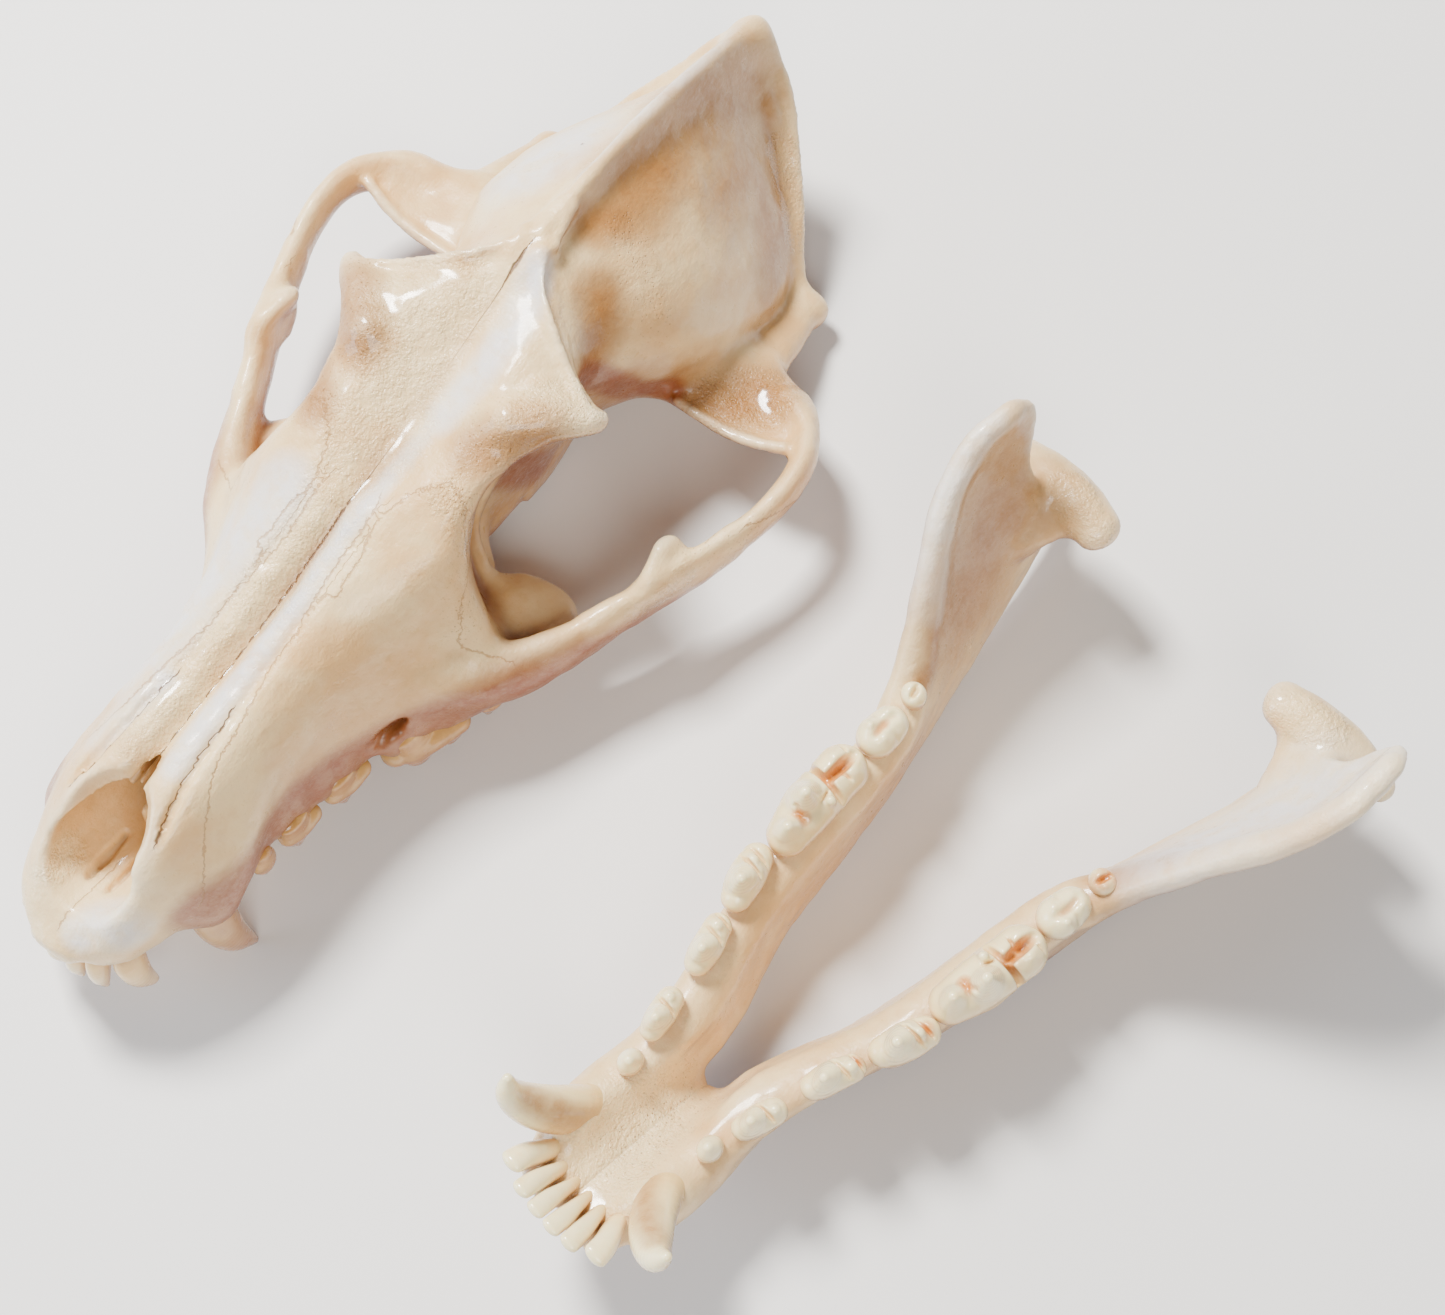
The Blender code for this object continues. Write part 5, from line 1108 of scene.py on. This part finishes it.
# brown smudges on the lower canines, and painted shade on the upper teeth
SMUDGES_AND_SHADE = both_sides([(3.8, [(13, 6.5, 25), (10.5, 8.6, 30), (9.5, 11.2, 34), (8.8, 14, 37)]),
                      (8, [(20, 18, 0), (22, 21, -16)]),
                      (8, [(32, 20, -3), (54, 22, -4), (66, 27, -4), (82, 31, -3)])])


# Grooves between the cusps of a tooth: how softly each is cut, then its rows as for a strand
GROOVES = {
    'lower_molar_1': [
        (0.5, [(72, 14.6, 32, 2.6, 0.3), (72.3, 18, 32.4, 1.9, 0.35), (72.6, 21, 33.4, 1.4, 0.3)]),
        (0.5, [(79.7, 15, 29.6, 2.6, 0.7), (79.7, 21, 31, 1.7, 0.6), (79.9, 26.4, 28, 3.2, 0.8)]),
        (0.6, [(80.8, 21.2, 31.6, 2.6, 1.1), (83.6, 21.2, 31.6, 3.2, 1.3), (87.2, 21.4, 31.6, 2.4, 1.1)]),
        (0.3, [(83.4, 17, 31, 1.2, 0.35), (82.6, 21, 31, 1.4, 0.35)]),
        (0.3, [(86, 23, 30.8, 1.2, 0.35), (86.4, 27, 29.4, 1.6, 0.35)]),
        (0.3, [(76.6, 18.9, 32.2, 1.2, 0.35), (78.8, 19.7, 31.4, 1.4, 0.35)])],
    'lower_molar_2': [
        (0.8, [(91.6, 21.4, 30.9, 1.7, 0.9), (94.2, 22, 30.8, 2, 1.1), (97, 21.6, 30.5, 1.7, 0.8)]),
        (0.5, [(94.6, 17.4, 28.2, 1.4, 0.4), (94.4, 19, 29.8, 1.0, 0.4)]),
        (0.5, [(94, 25.8, 28.2, 1.4, 0.4), (94.4, 24, 29.9, 1.0, 0.4)])],
    'lower_molar_3': [
        (0.4, [(100.6, 22, 30.2, 1.2, 0.5), (102.1, 22.4, 30, 1.5, 0.7), (103.6, 22.9, 30.2, 1.2, 0.5)])],
    'lower_premolar_4': [
        (0.35, [(60.6, 15, 29.6, 1.6, 0.4), (60.7, 19, 30.4, 1.3, 0.35), (60.9, 23, 29.2, 1.8, 0.45)]),
        (0.35, [(62.9, 16, 28.4, 1.4, 0.4), (63, 20, 29.2, 1.2, 0.35), (63.1, 24, 28.4, 1.4, 0.4)])],
    'lower_premolar_3': [
        (0.35, [(48.4, 12, 28.4, 1.4, 0.4), (48.5, 15.6, 29, 1.1, 0.35), (48.7, 19, 28.2, 1.5, 0.4)]),
        (0.35, [(51.2, 13, 27.2, 1.2, 0.35), (51.2, 16.4, 27.8, 0.9, 0.3), (51.2, 20, 27.2, 1.2, 0.35)])],
    'lower_premolar_2': [
        (0.35, [(34.6, 9, 27.6, 1.2, 0.4), (34.7, 12, 28.4, 1, 0.35), (34.8, 15.4, 27.6, 1.3, 0.4)])],
    'upper_premolar_4': [
        (0.3, [(70.2, 27.6, -6.6, 1.8, 0.35), (70.4, 24.6, -6, 1.6, 0.35), (70.6, 21, -6, 1.6, 0.35)])],
    'upper_molar_1': [
        (0.4, [(83.5, 31.6, -4.4, 2.4, 0.5), (83.5, 28.4, -5, 1.8, 0.5), (83.2, 25.6, -4.6, 1.8, 0.6)])],
}


def build_teeth(table, prefix, voxel, matrix):
    """Both sides' teeth of one jaw at full detail."""
    up = 1 if prefix == 'lower' else -1
    for name, spec in table.items():
        clay = shape_tooth(spec, voxel)
        for blend, rows in GROOVES.get(f'{prefix}_{name}', ()):
            clay.strand(rows, blend, cut=True)
        for side, block in (('right', clay), ('left', clay.mirror())):
            full_name = f'{prefix}_{name}_{side}'
            mesh = block.mesh(full_name)
            points = rows_of(mesh.vertices, 'co')
            height = points[:, 2] * up
            crown = (height - height.min()) / (height.max() - height.min())
            values = {'crown': crown, 'hollow': block.hollowness(points, TOOTH_HOLLOW_SHADE_RADIUS),
                      'stain': near(points, STAINS), 'smudge_and_shade': near(points, SMUDGES_AND_SHADE)}
            normals = rows_of(mesh.vertex_normals, 'vector')
            move_vertices(mesh, points + normals * (lattice_noise(points, 3.1, 7) * 0.04)[:, None])
            add_piece(full_name, mesh, values, matrix, tooth_material(full_name + ' enamel'))


class SkullSettings(bpy.types.PropertyGroup):
    """How finely the bones and teeth are divided."""

    bone_voxel: bpy.props.FloatProperty(
        name='Bone voxel', description='Size of the voxels of the bones, in millimetres',
        default=0.7, min=0.4, max=2.0)
    tooth_voxel: bpy.props.FloatProperty(
        name='Tooth voxel', description='Size of the voxels of the teeth, in millimetres',
        default=0.25, min=0.12, max=0.6)
    floor_colour: bpy.props.FloatVectorProperty(
        name='Floor colour', description='Colour of the floor', subtype='COLOR', size=3,
        default=(0.86, 0.85, 0.84), min=0.0, max=1.0)


class SKULL_OT_cranium(bpy.types.Operator):
    """Build the cranium"""

    bl_idname = 'skull.cranium'
    bl_label = 'Cranium'

    def execute(self, context):
        clay = shape_cranium(context.scene.skull.bone_voxel)
        detail_cranium(clay)
        clay = clay.whole()
        build_bone('cranium', clay, CRANIUM_TRIANGLES, CRANIUM_TABLE, CRANIUM_SEAMS, CRANIUM_FURROWS,
                   CRANIUM_STROKES)
        return {'FINISHED'}


class SKULL_OT_lower_jaw(bpy.types.Operator):
    """Build both halves of the lower jaw"""

    bl_idname = 'skull.lower_jaw'
    bl_label = 'Lower jaw'

    def execute(self, context):
        clay = shape_jaw_half(context.scene.skull.bone_voxel)
        for name, half in (('mandible_right', clay), ('mandible_left', clay.mirror())):
            build_bone(name, half, JAW_TRIANGLES, JAW_TABLE, [], [], JAW_STROKES)
        return {'FINISHED'}


class SKULL_OT_teeth(bpy.types.Operator):
    """Build the upper and lower teeth"""

    bl_idname = 'skull.teeth'
    bl_label = 'Teeth'

    def execute(self, context):
        voxel = context.scene.skull.tooth_voxel
        build_teeth(UPPER, 'upper', voxel, CRANIUM_TABLE)
        build_teeth(LOWER, 'lower', voxel, JAW_TABLE)
        return {'FINISHED'}


FLOOR_SIZE = 6.0
FLOOR_ROUGHNESS = 0.8
WORLD_COLOUR = (0.9, 0.93, 1.0, 1.0)
WORLD_STRENGTH = 0.2
# The picture's right and up as seen on the floor
PICTURE_RIGHT = Vector((0.818, 0.575, 0))
PICTURE_UP = Vector((-0.575, 0.818, 0))
# The camera, whose lens comes from a distance in pixels of the picture
PICTURE_WIDTH = 1445
LENS_PIXELS = 2200
SENSOR_WIDTH = 36.0
CAMERA_PLACE = (0.0759376, -0.0999207, 0.3869737)
CAMERA_TURN = (0.33266834, 0.0, 2.183597651 - math.pi / 2)
LIGHT_TARGET = (0, 0, 0.02)
# Lights: name, then how far to the right and up in the picture and how high, size, power and tint
LIGHTS = (
    ('key', -0.3, 0.4, 0.8, 0.22, 24.0, (1.0, 0.97, 0.92)),
    ('window', -0.9, -0.1, 0.35, 0.5, 6.5, (0.72, 0.84, 1.0)),
    ('front', 0.1, -0.6, 0.7, 0.4, 5.0, (1.0, 0.95, 0.88)),
)


def add_light(name, place, size, power, tint):
    """A soft square light."""
    data = bpy.data.lights.new(name, 'AREA')
    data.size = size
    data.energy = power
    data.color = tint
    light = bpy.data.objects.new(name, data)
    light.location = place
    light.rotation_euler = (Vector(LIGHT_TARGET) - place).to_track_quat('-Z', 'Y').to_euler()
    bpy.context.scene.collection.objects.link(light)


class SKULL_OT_stage(bpy.types.Operator):
    """Add the floor, the lights and the camera"""

    bl_idname = 'skull.stage'
    bl_label = 'Stage'

    def execute(self, context):
        bpy.ops.mesh.primitive_plane_add(size=FLOOR_SIZE, location=(0, 0, 0))
        floor = context.object
        floor.name = 'floor'
        g = Graph('floor')
        g.constants({'Base Color': (*context.scene.skull.floor_colour, 1.0), 'Roughness': FLOOR_ROUGHNESS})
        floor.data.materials.append(g.mat)
        world = bpy.data.worlds.new('studio')
        world.use_nodes = True
        sky = world.node_tree.nodes['Background'].inputs
        sky['Color'].default_value = WORLD_COLOUR
        sky['Strength'].default_value = WORLD_STRENGTH
        context.scene.world = world
        for name, right, up, high, size, power, tint in LIGHTS:
            place = PICTURE_RIGHT * right + PICTURE_UP * up + Vector((0, 0, high))
            add_light(name, place, size, power, tint)
        data = bpy.data.cameras.new('photo camera')
        data.sensor_width = SENSOR_WIDTH
        data.lens = SENSOR_WIDTH * LENS_PIXELS / PICTURE_WIDTH
        camera = bpy.data.objects.new('photo camera', data)
        camera.location = CAMERA_PLACE
        camera.rotation_euler = CAMERA_TURN
        context.scene.collection.objects.link(camera)
        context.scene.camera = camera
        return {'FINISHED'}


class SKULL_PT_panel(bpy.types.Panel):
    """Lists the settings and the pieces"""

    bl_label = 'Coyote skull'
    bl_space_type = 'VIEW_3D'
    bl_region_type = 'UI'
    bl_category = 'Skull'

    def draw(self, context):
        settings = context.scene.skull
        for key in ('bone_voxel', 'tooth_voxel', 'floor_colour'):
            self.layout.prop(settings, key)
        for key in ('cranium', 'lower_jaw', 'teeth', 'stage'):
            self.layout.operator('skull.' + key)


CLASSES = (SkullSettings, SKULL_OT_cranium, SKULL_OT_lower_jaw, SKULL_OT_teeth, SKULL_OT_stage,
           SKULL_PT_panel)


def register():
    for cls in CLASSES:
        bpy.utils.register_class(cls)
    bpy.types.Scene.skull = bpy.props.PointerProperty(type=SkullSettings)


def unregister():
    del bpy.types.Scene.skull
    for cls in reversed(CLASSES):
        bpy.utils.unregister_class(cls)


def main():
    """Build everything."""
    register()
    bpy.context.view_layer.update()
    bpy.ops.skull.cranium()
    bpy.ops.skull.lower_jaw()
    bpy.ops.skull.teeth()
    bpy.ops.skull.stage()


if __name__ == '__main__':
    main()
